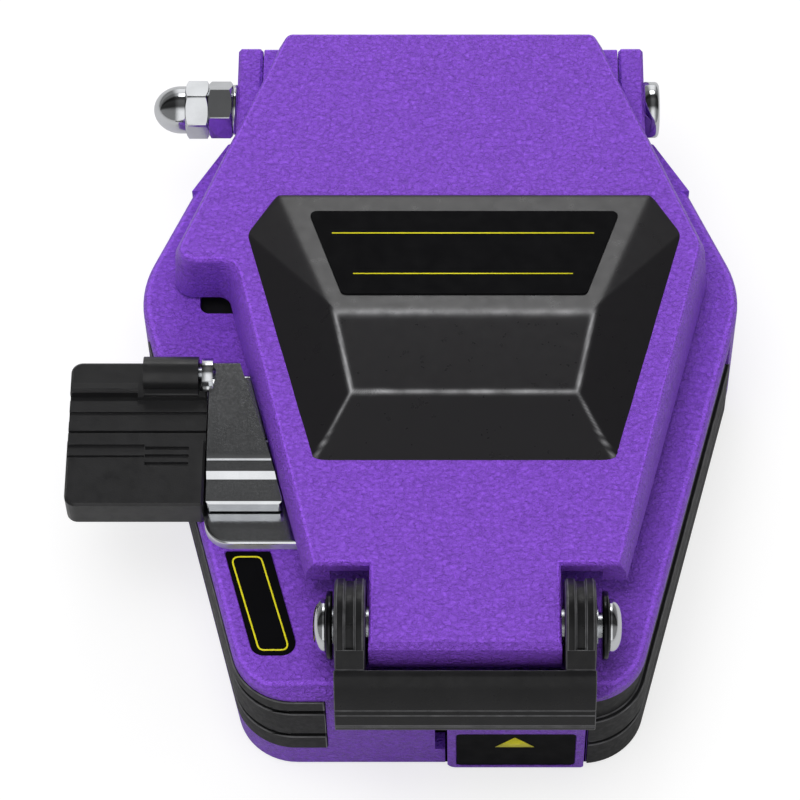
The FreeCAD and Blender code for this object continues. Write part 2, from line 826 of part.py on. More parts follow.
def lid_tongue():
    """Front tongue with the barrel that carries the latch axle."""
    y0, z0, r = latch_y, latch_z, tongue_barrel_r
    points = [(lid_front_y + tongue_root, lid_under), (lid_front_y + tongue_root, lid_top - 2 * seat_gap),
              (lid_front_y, lid_top), (tongue_front_y + tongue_nose, lid_top),
              (tongue_front_y, lid_top - tongue_nose)]
    for i in range(13):
        a = math.radians(180 + 12.5 * i)
        points.append((y0 + r * math.cos(a), z0 + r * math.sin(a)))
    tongue = profile_yz(points, tongue_left_x, tongue_right_x)
    sides = [e for e in tongue.Edges if edge_at_height(e, lid_top) and not edge_along_x(e)]
    return tongue.makeFillet(tongue_edge_r, sides)


def lid_shell():
    shoulder = lid_top - lid_shoulder_drop
    outer = join([lid_loft(lid_outline, (skirt_bottom, shoulder), (lid_draft, lid_shoulder_out)),
                  lid_loft(lid_outline, (shoulder, lid_top), (lid_shoulder_out, 0))])
    outer = rounded(outer, lid_edge_round, lambda e: edge_at_height(e, lid_top))
    inner_outline = [(x, y, 0) for x, y, r in moved_out(lid_outline, -lid_wall)]
    inner = lid_loft(inner_outline, (skirt_bottom, lid_under), (lid_draft, lid_shoulder_out))
    y_far, x_far = rear_y + 10, wide_half + 10
    slope = profile_yz([(y_far, 0), (y_far, skirt_bottom), (lid_wing[1], skirt_bottom),
                        (lid_front_y, skirt_front_bottom), (lid_front_y - 20, skirt_front_bottom + 1),
                        (lid_front_y - 20, 0)], -x_far, x_far)
    under_lip = box(lid_centre_x - lid_front_half + lid_wall, lid_centre_x + lid_front_half - lid_wall,
                    lid_front_y - eps, lid_front_y + lid_wall + eps, 0, front_lip_bottom)
    shell = cut(outer, [inner, slope, under_lip])
    parts = [shell, lid_tongue()]
    for x0 in (-lug_inner + moving_gap, lug_inner - moving_gap - knuckle_length):
        x1 = x0 + knuckle_length
        parts.append(rod_x(knuckle_r, x0, x1, hinge_y, hinge_z))
        parts.append(box(x0, x1, hinge_y - knuckle_web / 2, hinge_y + knuckle_web / 2, hinge_z,
                         lid_under + join_depth))
        outer_x = x0 if x0 < 0 else x1 - cheek_w
        cheek = box(outer_x, outer_x + cheek_w, hinge_y, lid_rear_y - cheek_inset, hinge_z, lug_top)
        parts.append(rounded(cheek, cheek_r,
                             lambda e: edge_at_height(e, lug_top) and e.BoundBox.YMin > hinge_y + 1))
    shell = join(parts)
    lug_reach = math.hypot(hinge_y - lug_front_y, lug_top - hinge_z) + 2 * moving_gap
    for x0 in (-neck_half - moving_gap, lug_inner - moving_gap):
        x1 = x0 + lug_t + 2 * moving_gap
        swept = rod_x(lug_reach, x0, x1, hinge_y, hinge_z)
        shell = shell.cut(swept.common(box(x0, x1, 0, 100, 0, lid_top - lug_cover_t)))
    tools = [rod_x(bolt_r + running_fit, -lug_inner, lug_inner, hinge_y, hinge_z),
             rod_x(axle_r + thread_fit, tongue_left_x - eps, tongue_right_x + eps, latch_y, latch_z)]
    for x in guide_xs:
        tools.append(rod_z(guide_r + thread_fit, x, fibre_y, lid_under - eps, lid_top - 0.4))
        tools.append(rod_z(clamp_spring_r + 0.3, x, fibre_y, lid_under - eps,
                           lid_under + spring_pocket_depth))
    tools += [rod_z(small_shank_r + thread_fit, x, y, lid_under - eps, lid_top + eps)
              for x, y in cap_screws_at]
    tools.append(rod_z(small_shank_r + thread_fit, blade_x, fibre_y, lid_under - eps, lid_top + eps))
    tools.append(rod_z(small_head_r + seat_gap, blade_x, fibre_y, lid_top - small_head_t, lid_top + eps))
    return cut(shell, tools)


def cap_corners():
    """Outline and raised corners of the faceted cap, right-hand half, from rear to front."""
    foot = [(cap_rear_half, cap_rear_y, lid_top), (cap_wide_half, cap_wide_y, lid_top),
            (cap_front_half, cap_front_y, lid_top)]
    crown = [(cap_rear_half - cap_rear_slope[0], cap_rear_y - cap_rear_slope[1], lid_top + cap_rear_rise),
             (cap_ridge_half, cap_ridge_y, cap_ridge_z), (cap_brow_half, cap_brow_y, cap_brow_z)]
    return foot, crown


def lid_cap():
    """Faceted cap: a sloping label face, a flat brow and falling sides."""
    foot, crown = cap_corners()

    def right(p):
        return Vector(cap_x + p[0], p[1], p[2])

    def left(p):
        return Vector(cap_x - p[0], p[1], p[2])

    f, c = foot, crown
    loops = [[right(f[0]), left(f[0]), left(f[1]), left(f[2]), right(f[2]), right(f[1])],
             [right(f[0]), right(c[0]), left(c[0]), left(f[0])],
             [right(c[0]), right(c[1]), left(c[1]), left(c[0])],
             [right(c[1]), right(c[2]), left(c[2]), left(c[1])],
             [right(c[2]), right(f[2]), left(f[2]), left(c[2])]]
    for side in (right, left):
        loops += [[side(f[0]), side(f[1]), side(c[0])], [side(f[1]), side(c[1]), side(c[0])],
                  [side(f[1]), side(f[2]), side(c[2])], [side(f[1]), side(c[2]), side(c[1])]]
    faces = [Part.Face(Part.makePolygon(loop + loop[:1])) for loop in loops]
    solid = Part.Solid(Part.Shell(faces))
    if solid.Volume < 0:
        solid.reverse()
    pilots = [rod_z(small_shank_r + thread_fit, x, y, lid_top - eps, lid_top + cap_screw_bite)
              for x, y in cap_screws_at]
    return cut(solid, pilots)


def cap_face_frame():
    """Start point and slope angle of the cap's label face."""
    foot, crown = cap_corners()
    (_, y0, z0), (_, y1, z1) = crown[0], crown[1]
    return y0, z0, math.degrees(math.atan2(z1 - z0, y0 - y1))


def cap_label():
    y0, z0, angle = cap_face_frame()
    outline = [(-cap_label_front_half, -cap_label_end, 0.8), (cap_label_front_half, -cap_label_end, 0.8),
               (cap_label_rear_half, -cap_label_start, 0.8), (-cap_label_rear_half, -cap_label_start, 0.8)]
    plate = prism(outline, 0, cap_label_t)
    plate.rotate(Vector(0, 0, 0), Vector(1, 0, 0), -angle)
    plate.translate(Vector(cap_x, y0, z0))
    return plate


def cap_screws():
    return [pan_screw(x, y, lid_under, lid_top + cap_screw_bite - tip_room / 2, small_shank_r,
                      small_head_r, small_head_t)
            for x, y in cap_screws_at]


# ================================================================== latch
def latch_axle():
    left, right = latch_x - axle_end, latch_x + axle_end
    shaft = rod_x(axle_r, left, right, latch_y, latch_z)
    neck = rod_x(axle_neck_r, right, right + axle_neck_length, latch_y, latch_z)
    threads = [rod_x(latch_thread_r + thread_fit, left - eps, left + latch_thread_length, latch_y, latch_z),
               rod_x(latch_thread_r + thread_fit, right + axle_neck_length - latch_thread_length,
                     right + axle_neck_length + eps, latch_y, latch_z)]
    return cut(join([shaft, neck]), threads)


def latch_washer_faces():
    """Inner face and outward direction of each washer."""
    return [(latch_x - axle_end, -1), (latch_x + axle_end + axle_neck_length, 1)]


def latch_washers():
    washers = []
    for x, way in latch_washer_faces():
        disc = rod(latch_washer_r, (x, latch_y, latch_z), (x + way * latch_washer_t, latch_y, latch_z))
        hole = rod(latch_thread_r + thread_fit, (x - way, latch_y, latch_z),
                   (x + way * (latch_washer_t + 1), latch_y, latch_z))
        washers.append(disc.cut(hole))
    return washers


def latch_screws():
    """Domed cross-head screws at both ends of the axle."""
    screws = []
    t, r = latch_head_t, latch_head_r
    for x, way in latch_washer_faces():
        seat = x + way * latch_washer_t
        dome = [(0, 0), (0, r), (t * 0.3, r)]
        dome += [(t * (0.3 + 0.7 * math.sin(math.radians(a))),
                  r * (0.35 + 0.65 * math.cos(math.radians(a))))
                 for a in (35, 65, 90)]
        head = turned(dome + [(t, 0)], (seat, latch_y, latch_z), (way, 0, 0))
        x0, x1 = sorted((seat + way * t * 0.4, seat + way * (t + eps)))
        arm, width = r * 0.5, r * 0.16
        head = cut(head, [box(x0, x1, latch_y - arm, latch_y + arm, latch_z - width / 2,
                              latch_z + width / 2),
                          box(x0, x1, latch_y - width / 2, latch_y + width / 2, latch_z - arm,
                              latch_z + arm)])
        shank = rod(latch_thread_r, (seat, latch_y, latch_z),
                    (x - way * (latch_thread_length - 0.5), latch_y, latch_z))
        screws.append(join([head, shank]))
    return screws


def latch_bail():
    """Bar that swings down over the front of the body, on two round ears."""
    y0, z0 = latch_y, latch_z
    rear = bail_rear_y
    section = [(rear, bail_top)] + [(rear - y, bail_top - z) for y, z in bail_shoulder]
    section += [(rear - y, bail_bottom + z) for y, z in bail_toe]
    bar = profile_yz(section, latch_x - ear_outer, latch_x + ear_outer)
    parts = [bar]
    tie_low = z0 - ear_r
    for x0 in (latch_x - ear_outer, latch_x + ear_inner):
        x1 = x0 + ear_t
        disc = rod_x(ear_r, x0, x1, y0, z0)
        groove = rod_x(ear_r + eps, x0 + (ear_t - ear_rib_t) / 2, x0 + (ear_t + ear_rib_t) / 2, y0, z0)
        groove = groove.cut(rod_x(ear_r - ear_rib_depth, x0, x1, y0, z0))
        tie = [(y0, tie_low), (bail_tie_y, bail_tie_z), (rear, bail_top), (rear, tie_low)]
        tie = profile_yz(tie, x0, x1)
        parts.append(join([disc.cut(groove), tie]))
    clear = rod_x(bail_inner_r, latch_x - ear_inner, latch_x + ear_inner, y0, z0)
    bore = rod_x(axle_r + running_fit, latch_x - ear_outer - eps, latch_x + ear_outer + eps, y0, z0)
    return cut(join(parts), [clear, bore])


# ================================================================== slider and blade
def slider_rail():
    """T-section rail on the bottom cover."""
    neck = box(blade_x - rail_neck_w / 2, blade_x + rail_neck_w / 2, rail_front_y, rail_rear_y,
               cover_top, cover_top + rail_neck_h)
    head = box(blade_x - rail_head_w / 2, blade_x + rail_head_w / 2, rail_front_y, rail_rear_y,
               cover_top + rail_neck_h, cover_top + rail_neck_h + rail_head_h)
    holes = [rod_z(small_shank_r + thread_fit, blade_x, y, cover_top - eps,
                   cover_top + rail_screw_rise + tip_room)
             for y in rail_screw_ys]
    return cut(join([neck, head]), holes)


def rail_screws():
    tip = cover_top + rail_screw_rise
    return [countersunk_screw(blade_x, y, pad_t, tip, small_shank_r, small_head_r, small_head_t)
            for y in rail_screw_ys]


def push_plate():
    """Front plate of the slider, pushed in by a finger."""
    plate = prism([(push_left, push_bottom, 1.2), (push_right, push_bottom, 0.5),
                   (push_right, push_top, 0.5),
                   (push_left, push_top, 0.5)], 0, push_t)
    plate.rotate(Vector(0, 0, 0), Vector(1, 0, 0), 90)
    plate.translate(Vector(0, push_rear_y, 0))
    recess = push_label_solid(0, push_front_y - eps, push_front_y + push_label_depth)
    return plate.cut(recess)


def push_label_solid(shrink, y0, y1):
    corners = [(push_left + push_label_border, push_bottom + 0.5, 0.7),
               (push_right - push_label_border, push_bottom + 0.5, 0.7),
               (push_right - push_label_border, push_label_top, 0.7),
               (push_left + push_label_border, push_label_top, 0.7)]
    plate = prism(moved_out(corners, -shrink), 0, y1 - y0)
    plate.rotate(Vector(0, 0, 0), Vector(1, 0, 0), 90)
    plate.translate(Vector(0, y1, 0))
    return plate


def push_label():
    front = push_front_y + push_label_depth - push_label_t
    return push_label_solid(seat_gap, front, front + push_label_t)


def slider_carriage():
    """Block that rides the rail, with the fork that holds the blade and the arm to the push plate."""
    half = carriage_w / 2
    bottom = cover_top + carriage_lift
    block = box(blade_x - half, blade_x + half, carriage_front_y, carriage_rear_y, bottom, carriage_top)
    arm_bottom = cover_top + rail_neck_h + rail_head_h + moving_gap
    arm = box(blade_x - arm_w / 2, blade_x + arm_w / 2, push_rear_y, carriage_front_y, arm_bottom, arm_top)
    parts = [block, arm]
    tip = blade_z + cheek_top_r
    for x0 in (blade_x - cheek_inner - cheek_t, blade_x + cheek_inner):
        low, high = blade_rest_y - cheek_half, blade_rest_y + cheek_half
        cheek = profile_yz([(low, bottom), (high, bottom), (high, carriage_top),
                            (blade_rest_y + cheek_top_r, tip - 1.2), (blade_rest_y + 1.2, tip),
                            (blade_rest_y - 1.2, tip), (blade_rest_y - cheek_top_r, tip - 1.2),
                            (low, carriage_top)], x0, x0 + cheek_t)
        parts.append(cheek)
    parts.append(rod_x(spring_pin_r, spring_x - spring_wire, blade_x - half, spring_rear_y, spring_z))
    well = box(blade_x - cheek_inner, blade_x + cheek_inner, blade_rest_y - blade_r - moving_gap * 2,
               blade_rest_y + blade_r + moving_gap * 2, 0, body_top)
    fit = rail_fit
    neck = box(blade_x - rail_neck_w / 2 - fit, blade_x + rail_neck_w / 2 + fit, carriage_front_y - eps,
               carriage_rear_y + eps, 0, cover_top + rail_neck_h)
    head = box(blade_x - rail_head_w / 2 - fit, blade_x + rail_head_w / 2 + fit, carriage_front_y - eps,
               carriage_rear_y + eps, cover_top + rail_neck_h - fit, cover_top + rail_neck_h + rail_head_h + fit)
    bore = rod_x(blade_axle_r + thread_fit, blade_x - half, blade_x + half, blade_rest_y, blade_z)
    return cut(join(parts), [well, neck, head, bore])


def blade_axle():
    """Screw through the fork that carries the blade."""
    shank = rod_x(blade_axle_r, blade_x - cheek_inner - cheek_t, blade_x + cheek_inner + cheek_t,
                  blade_rest_y, blade_z)
    seat = blade_x + cheek_inner + cheek_t
    head = rod_x(axle_head_r, seat, seat + axle_head_t, blade_rest_y, blade_z)
    slot = box(seat + axle_head_t / 2, seat + axle_head_t + eps, blade_rest_y - axle_head_r,
               blade_rest_y + axle_head_r, blade_z - 0.3, blade_z + 0.3)
    return join([shank, head.cut(slot)])


def blade_wheel():
    """Hard steel disc with its cutting edge ground from both sides."""
    half, edge = blade_t / 2, 0.05
    section = [(-half, blade_bore_r), (-half, blade_r - blade_bevel), (-edge, blade_r), (edge, blade_r),
               (half, blade_r - blade_bevel), (half, blade_bore_r)]
    return turned(section, (blade_x, blade_rest_y, blade_z), (1, 0, 0))


def blade_hub():
    """Flanged bush in the blade's bore."""
    outer = blade_x - cheek_inner + hub_side_gap
    face = blade_x - blade_t / 2
    flange = rod_x(hub_flange_r, outer, face, blade_rest_y, blade_z)
    sleeve = rod_x(blade_bore_r - thread_fit, face, blade_x + blade_t / 2, blade_rest_y, blade_z)
    bore = rod_x(blade_axle_r + running_fit, outer - eps, blade_x + cheek_inner, blade_rest_y, blade_z)
    return join([flange, sleeve]).cut(bore)


def blade_clamp_ring():
    face = blade_x + blade_t / 2
    outer = blade_x + cheek_inner - hub_side_gap
    ring = rod_x(hub_flange_r, face, outer, blade_rest_y, blade_z)
    return ring.cut(rod_x(blade_axle_r + running_fit, face - eps, outer + eps, blade_rest_y, blade_z))


def return_spring():
    """Open tension spring between a post in the body and a pin on the carriage."""
    coil_r = spring_r - spring_wire / 2
    start = spring_front_y + 2 * coil_r
    end = spring_rear_y - 2 * coil_r
    front_hook = [Vector(spring_x + coil_r * math.sin(a), spring_front_y + coil_r * math.cos(a), spring_z)
                  for a in steps(300, 0)]
    coil = [Vector(spring_x + coil_r * math.sin(a), start + (end - start) * a / math.tau / spring_turns,
                   spring_z + coil_r * math.cos(a)) for a in steps(90, 360 * spring_turns)]
    rear_hook = [Vector(spring_x, spring_rear_y - coil_r * math.cos(a), spring_z - coil_r * math.sin(a))
                 for a in steps(0, 300)]
    return bent_wire(front_hook + coil + rear_hook, spring_wire, 4)


# ================================================================== fibre clamps and anvil
def clamp_pair(outer_gap, half_y, z0, z1):
    """Two blocks, one on each side of the blade."""
    inner = clamp_inner + outer_gap
    far = clamp_inner + clamp_length - outer_gap
    return [box(blade_x - far, blade_x - inner, fibre_y - half_y, fibre_y + half_y, z0, z1),
            box(blade_x + inner, blade_x + far, fibre_y - half_y, fibre_y + half_y, z0, z1)]


def lower_clamp_blocks():
    return [b.makeFillet(0.4, [e for e in b.Edges if edge_at_height(e, block_top)])
            for b in clamp_pair(0, clamp_block_half, body_top, block_top)]


def lower_clamp_pads():
    return clamp_pair(0.4, clamp_pad_half, block_top, lower_pad_top)


def upper_clamp_pads():
    return clamp_pair(0.4, clamp_pad_half, upper_pad_bottom, foot_bottom)


def clamp_carrier():
    """Sprung plate in the lid that holds the upper pads."""
    reach = guide_offset + clamp_ear_r
    left, right, front, rear = blade_x - reach, blade_x + reach, fibre_y - clamp_ear_r, fibre_y + clamp_ear_r
    plate = prism([(left, front, 1.5), (right, front, 1.5), (right, rear, 1.5), (left, rear, 1.5)],
                  plate_bottom, plate_top)
    span = clamp_inner + clamp_length
    frame = box(blade_x - span, blade_x + span, fibre_y - clamp_plate_half, fibre_y + clamp_plate_half,
                plate_bottom, plate_top)
    feet = clamp_pair(0, clamp_block_half, foot_bottom, plate_bottom)
    window = box(blade_x - anvil_half_x - 0.6, blade_x + anvil_half_x + 0.6, fibre_y - anvil_half_y - 0.6,
                 fibre_y + anvil_half_y + 0.6, foot_bottom - eps, plate_top + eps)
    holes = [rod_z(guide_r + running_fit, x, fibre_y, plate_bottom - eps, plate_top + eps)
             for x in guide_xs]
    return cut(join([plate, frame] + feet), [window] + holes)


def clamp_guide_screws():
    """Shoulder screws that the carrier slides on."""
    return [pan_screw(x, fibre_y, plate_bottom, lid_top - 0.5, guide_r, guide_head_r, guide_head_t)
            for x in guide_xs]


def clamp_springs():
    """Short open coils round the shoulder screws."""
    wire = clamp_spring_wire / 2
    bottom = plate_top + wire * 1.2
    top = lid_under + spring_pocket_depth - wire * 1.2
    coil_r = clamp_spring_r - wire
    rise = (top - bottom) / clamp_spring_turns / math.tau
    return [bent_wire([Vector(x + coil_r * math.cos(a), fibre_y + coil_r * math.sin(a), bottom + rise * a)
                       for a in steps(0, 360 * clamp_spring_turns)], clamp_spring_wire, 6)
            for x in guide_xs]


def anvil():
    block = box(blade_x - anvil_half_x, blade_x + anvil_half_x, fibre_y - anvil_half_y,
                fibre_y + anvil_half_y,
                anvil_bottom, lid_under)
    hole_bottom = lid_under - anvil_screw_depth - tip_room
    return block.cut(rod_z(small_shank_r + thread_fit, blade_x, fibre_y, hole_bottom, lid_under + eps))


def anvil_screw():
    return pan_screw(blade_x, fibre_y, lid_top - small_head_t, lid_under - anvil_screw_depth, small_shank_r,
                     small_head_r, small_head_t - seat_gap)


# ================================================================== platform, holder and flap
def fibre_platform():
    """Steel plate under the fibre, with a tongue that carries the holder."""
    corners = [(platform_left, platform_front_y, platform_corner_r),
               (platform_right, platform_front_y, 1.0),
               (platform_right, platform_rear_y, 1.0), (platform_left, platform_rear_y, 0)]
    plate = prism(corners, body_top, platform_top)
    plate = rounded(plate, platform_edge_r, lambda e: edge_at_height(e, platform_top))
    tongue = box(tongue_left, platform_left + 1, fibre_y - tongue_plate_half, fibre_y + tongue_plate_half,
                 body_top, platform_top - platform_edge_r)
    groove = profile_yz([(fibre_y - 0.35, platform_top + 0.05), (fibre_y, platform_top - 0.3),
                         (fibre_y + 0.35, platform_top + 0.05)], platform_left - eps, platform_right + eps)
    holes = [countersink(x, y, platform_top, body_top - 3, small_shank_r, small_head_r, small_head_t)
             for x, y in platform_screws]
    holes += [countersink(holder_screw_x, y, body_top, platform_top, small_shank_r, holder_head_r,
                          holder_head_t)
              for y in holder_screw_ys]
    return cut(join([plate, tongue]), [groove] + holes)


def platform_screw_set():
    return [countersunk_screw(x, y, platform_top, roof_under - 3, small_shank_r, small_head_r, small_head_t)
            for x, y in platform_screws]


def holder_screws():
    tip = platform_top + holder_screw_bite
    return [countersunk_screw(holder_screw_x, y, body_top, tip, small_shank_r, holder_head_r, holder_head_t)
            for y in holder_screw_ys]


def groove_x(x0, x1, y_front, y_rear, depth, lean=0.15):
    """Long groove in the holder's top, with slightly leaning walls."""
    top = holder_top + 0.05
    floor = holder_top - depth
    return profile_yz([(y_front, top), (y_front + lean, floor), (y_rear - lean, floor), (y_rear, top)],
                      x0, x1)


def fibre_holder():
    """Grooved block that grips the coated fibre, with the barrel of its flap hinge."""
    corners = [(holder_left, holder_front_y, holder_corner_r), (platform_left, holder_front_y, 0.4),
               (platform_left, holder_rear_y, 0.4), (holder_left, holder_rear_y, holder_corner_r)]
    block = prism(corners, body_top, holder_top)
    block = block.makeChamfer(holder_edge, [e for e in block.Edges if edge_at_height(e, holder_top)])
    left, split, right = holder_left - eps, holder_split_x, platform_left + eps
    v_front, v_rear, v_depth = holder_v
    grooves = [groove_x(left, right, holder_channel_front, holder_channel_rear, holder_channel_depth),
               groove_x(left, right, fibre_y - v_front, fibre_y + v_rear, v_depth, v_rear),
               groove_x(left, right, *holder_long_groove)]
    grooves += [groove_x(left, split, *sizes) for sizes in holder_left_grooves]
    grooves += [groove_x(left, split + holder_split_gap, *sizes) for sizes in holder_front_grooves]
    grooves += [groove_x(split + holder_split_gap + seat_gap, holder_slit_right, *sizes)
                for sizes in holder_slits]
    block = cut(block, grooves)
    barrel = rod_x(barrel_r, barrel_left, barrel_right, flap_axis_y, flap_axis_z)
    saddle = box(barrel_left, barrel_right, holder_channel_rear, holder_rear_y, body_top + 2.5,
                 holder_top + 0.6)
    saddle_round = [e for e in saddle.Edges if edge_at_height(e, holder_top + 0.6)]
    block = join([block, barrel, saddle.makeFillet(0.3, saddle_round)])
    ear_room = rod_x(flap_ear_r + moving_gap, flap_left - flap_ear_t - 0.4, platform_left + eps,
                     flap_axis_y, flap_axis_z)
    tongue_room = box(tongue_left - seat_gap, platform_left + eps, fibre_y - tongue_plate_half - seat_gap,
                      fibre_y + tongue_plate_half + seat_gap, body_top - eps, platform_top - platform_edge_r)
    pin_hole = rod_x(flap_pin_r + thread_fit, barrel_left + 0.5, barrel_right + eps, flap_axis_y,
                     flap_axis_z)
    pilots = [rod_z(small_shank_r + thread_fit, holder_screw_x, y, body_top,
                    platform_top + holder_screw_bite + tip_room / 2)
              for y in holder_screw_ys]
    return cut(block, [ear_room, tongue_room, pin_hole] + pilots)


def flap_hinge_pin():
    return rod_x(flap_pin_r, barrel_left + 0.5, flap_left - 0.1, flap_axis_y, flap_axis_z)


def flap_plan(z0, z1):
    """Plan of the flap: square at the holder, leaning beside the lid."""
    corners = [(flap_left, flap_front_y, 0.4), (flap_front_right, flap_front_y, 0.6), (*flap_bend, 0),
               (flap_rear_right, flap_rear_y, 1.0), (flap_left, flap_rear_y, 0.3)]
    return prism(corners, z0, z1)


def fibre_clamp_flap():
    """Polished flap that closes over the fibre on the platform."""
    soft = flap_edge * 0.3
    under = flap_bottom - 0.2
    section = [(flap_rear_y, flap_bottom), (flap_rear_y, flap_top - flap_edge),
               (flap_rear_y - flap_edge, flap_top), (flap_land_y, flap_top), (flap_crease_y,
                                                                              flap_top - soft),
               (flap_crease_y - soft, flap_top - 3 * soft), (flap_ramp_y, flap_top - flap_edge),
               (flap_tread_y, flap_tread_z), (flap_front_y + 2 * soft, flap_tread_z),
               (flap_front_y, flap_tread_z - 2 * soft), (flap_front_y, flap_lip_bottom),
               (flap_front_y + flap_lip_t, flap_lip_bottom), (flap_front_y + flap_lip_t + flap_edge, under),
               (flap_ramp_y, under), (flap_ramp_y + flap_edge, flap_bottom)]
    body = profile_yz(section, flap_left, flap_front_right + eps)
    body = body.common(flap_plan(flap_lip_bottom - eps, flap_top + eps))
    x0, x1 = flap_left - flap_ear_t, flap_left + flap_edge
    ear = rod_x(flap_ear_r, x0, x1, flap_axis_y, flap_axis_z)
    bore = rod_x(flap_pin_r + running_fit, x0 - eps, x1 + moving_gap, flap_axis_y, flap_axis_z)
    return cut(join([body, ear]), [bore])


def flap_pad():
    return box(flap_left + flap_pad_inset, flap_pad_right, fibre_y - flap_pad_half, fibre_y + flap_pad_half,
               platform_top + flap_pad_gap, flap_bottom)


# ================================================================== write every piece
def write(name, shapes):
    """One STEP file for a piece, or for a group of like pieces."""
    if isinstance(shapes, (list, tuple)):
        solids = [s for shape in shapes for s in shape.Solids]
    else:
        solids = shapes.Solids
    shape = solids[0] if len(solids) == 1 else Part.makeCompound(solids)
    shape.exportStep(f"parts/{name}.step")
    print(f"{name}: {len(solids)} solid(s), {sum(s.Volume for s in solids):.1f} mm3, valid {shape.isValid()}")


PIECES = {
    "base_housing": base_housing,
    "bottom_cover": bottom_cover,
    "bottom_cover_screws": bottom_cover_screws,
    "anti_slip_pad": anti_slip_pad,
    "left_side_grip": left_side_grip,
    "right_side_grip": right_side_grip,
    "dust_label": dust_label,
    "lid_rest_insert": rest_insert,
    "slider_rail": slider_rail,
    "rail_screws": rail_screws,
    "lower_clamp_blocks": lower_clamp_blocks,
    "lower_clamp_pads": lower_clamp_pads,
    "fibre_platform": fibre_platform,
    "platform_screws": platform_screw_set,
    "fibre_holder": fibre_holder,
    "holder_screws": holder_screws,
    "flap_hinge_pin": flap_hinge_pin,
    "fibre_clamp_flap": fibre_clamp_flap,
    "flap_pad": flap_pad,
    "hinge_bolt": hinge_bolt,
    "hinge_washer": hinge_washer,
    "hinge_lock_nut": hinge_lock_nut,
    "hinge_acorn_nut": hinge_acorn_nut,
    "lid_shell": lid_shell,
    "lid_cap": lid_cap,
    "cap_label": cap_label,
    "cap_screws": cap_screws,
    "anvil": anvil,
    "anvil_screw": anvil_screw,
    "clamp_carrier": clamp_carrier,
    "upper_clamp_pads": upper_clamp_pads,
    "clamp_guide_screws": clamp_guide_screws,
    "clamp_springs": clamp_springs,
    "latch_axle": latch_axle,
    "latch_washers": latch_washers,
    "latch_screws": latch_screws,
    "latch_bail": latch_bail,
    "slider_carriage": slider_carriage,
    "push_plate": push_plate,
    "push_label": push_label,
    "blade_axle": blade_axle,
    "blade_wheel": blade_wheel,
    "blade_hub": blade_hub,
    "blade_clamp_ring": blade_clamp_ring,
    "return_spring": return_spring,
}

os.makedirs("parts", exist_ok=True)
for name, make in PIECES.items():
    write(name, make())
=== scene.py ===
"""Looks of the fibre cleaver: finishes, detailed pieces, floor, lights and camera.

Blender units are metres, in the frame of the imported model; sizes below are in millimetres
and are turned into metres where they are used.
"""
import json
import math
import bmesh
import bpy
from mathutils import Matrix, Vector
from mathutils.kdtree import KDTree


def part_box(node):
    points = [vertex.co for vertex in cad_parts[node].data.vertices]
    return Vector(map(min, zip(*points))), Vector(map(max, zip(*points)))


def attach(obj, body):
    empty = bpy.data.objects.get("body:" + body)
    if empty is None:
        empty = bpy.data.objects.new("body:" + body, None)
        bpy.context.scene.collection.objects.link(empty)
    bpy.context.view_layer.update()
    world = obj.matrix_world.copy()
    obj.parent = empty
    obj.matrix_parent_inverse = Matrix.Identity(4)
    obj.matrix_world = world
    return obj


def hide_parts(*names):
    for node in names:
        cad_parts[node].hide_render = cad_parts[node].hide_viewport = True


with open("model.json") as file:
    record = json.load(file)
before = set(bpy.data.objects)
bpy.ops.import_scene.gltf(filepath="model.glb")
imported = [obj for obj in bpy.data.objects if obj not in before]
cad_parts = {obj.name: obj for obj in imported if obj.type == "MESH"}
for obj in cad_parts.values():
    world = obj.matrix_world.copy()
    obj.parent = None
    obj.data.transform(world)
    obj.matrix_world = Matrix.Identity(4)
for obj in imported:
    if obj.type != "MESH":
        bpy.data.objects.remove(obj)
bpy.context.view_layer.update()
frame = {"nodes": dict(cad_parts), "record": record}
nodes = frame["nodes"]
MM = 0.001


# ------------------------------------------------------------------ materials
class Nodes:
    """A node tree with short ways to add to it."""

    def __init__(self, tree):
        self.tree = tree

    def node(self, kind, **settings):
        """New node with the given settings."""
        made = self.tree.nodes.new(kind)
        for key, value in settings.items():
            setattr(made, key, value)
        return made

    def link(self, source, target):
        self.tree.links.new(source, target)

    def feed(self, value, target):
        """Link an output to the target socket, or write a plain value there."""
        if isinstance(value, bpy.types.NodeSocket):
            self.link(value, target)
        else:
            target.default_value = value

    def maths(self, operation, *values):
        """Result of a Math node on outputs or plain values."""
        made = self.node("ShaderNodeMath", operation=operation)
        for value, target in zip(values, made.inputs):
            self.feed(value, target)
        return made.outputs[0]

    def blend(self, factor, low, high, kind="RGBA", clamped=True):
        """From low to high as the factor goes from 0 to 1."""
        made = self.node("ShaderNodeMix", data_type=kind, clamp_factor=clamped)
        self.feed(factor, made.inputs["Factor"])
        self.feed(low, made.inputs["A"])
        self.feed(high, made.inputs["B"])
        return made.outputs["Result"]

    def remap(self, source, start, end, low, high):
        """The source remapped from start..end to low..high."""
        made = self.node("ShaderNodeMapRange")
        limits = {"From Min": start, "From Max": end, "To Min": low, "To Max": high}
        for socket, value in limits.items():
            made.inputs[socket].default_value = value
        self.link(source, made.inputs["Value"])
        return made.outputs["Result"]

    def ramp(self, source, stops):
        """Grey level led by the source; stops are (position, level) in order."""
        made = self.node("ShaderNodeValToRGB")
        self.link(source, made.inputs["Fac"])
        elements = made.color_ramp.elements
        while len(elements) < len(stops):
            elements.new(1.0)
        for element, (position, level) in zip(elements, stops):
            element.position = position
            element.color = [level, level, level, 1]
        return made.outputs["Color"]

    def axes_of(self, output):
        """X, Y and Z of one of the texture coordinates."""
        where = self.node("ShaderNodeTexCoord")
        split = self.node("ShaderNodeSeparateXYZ")
        self.link(where.outputs[output], split.inputs["Vector"])
        return split.outputs


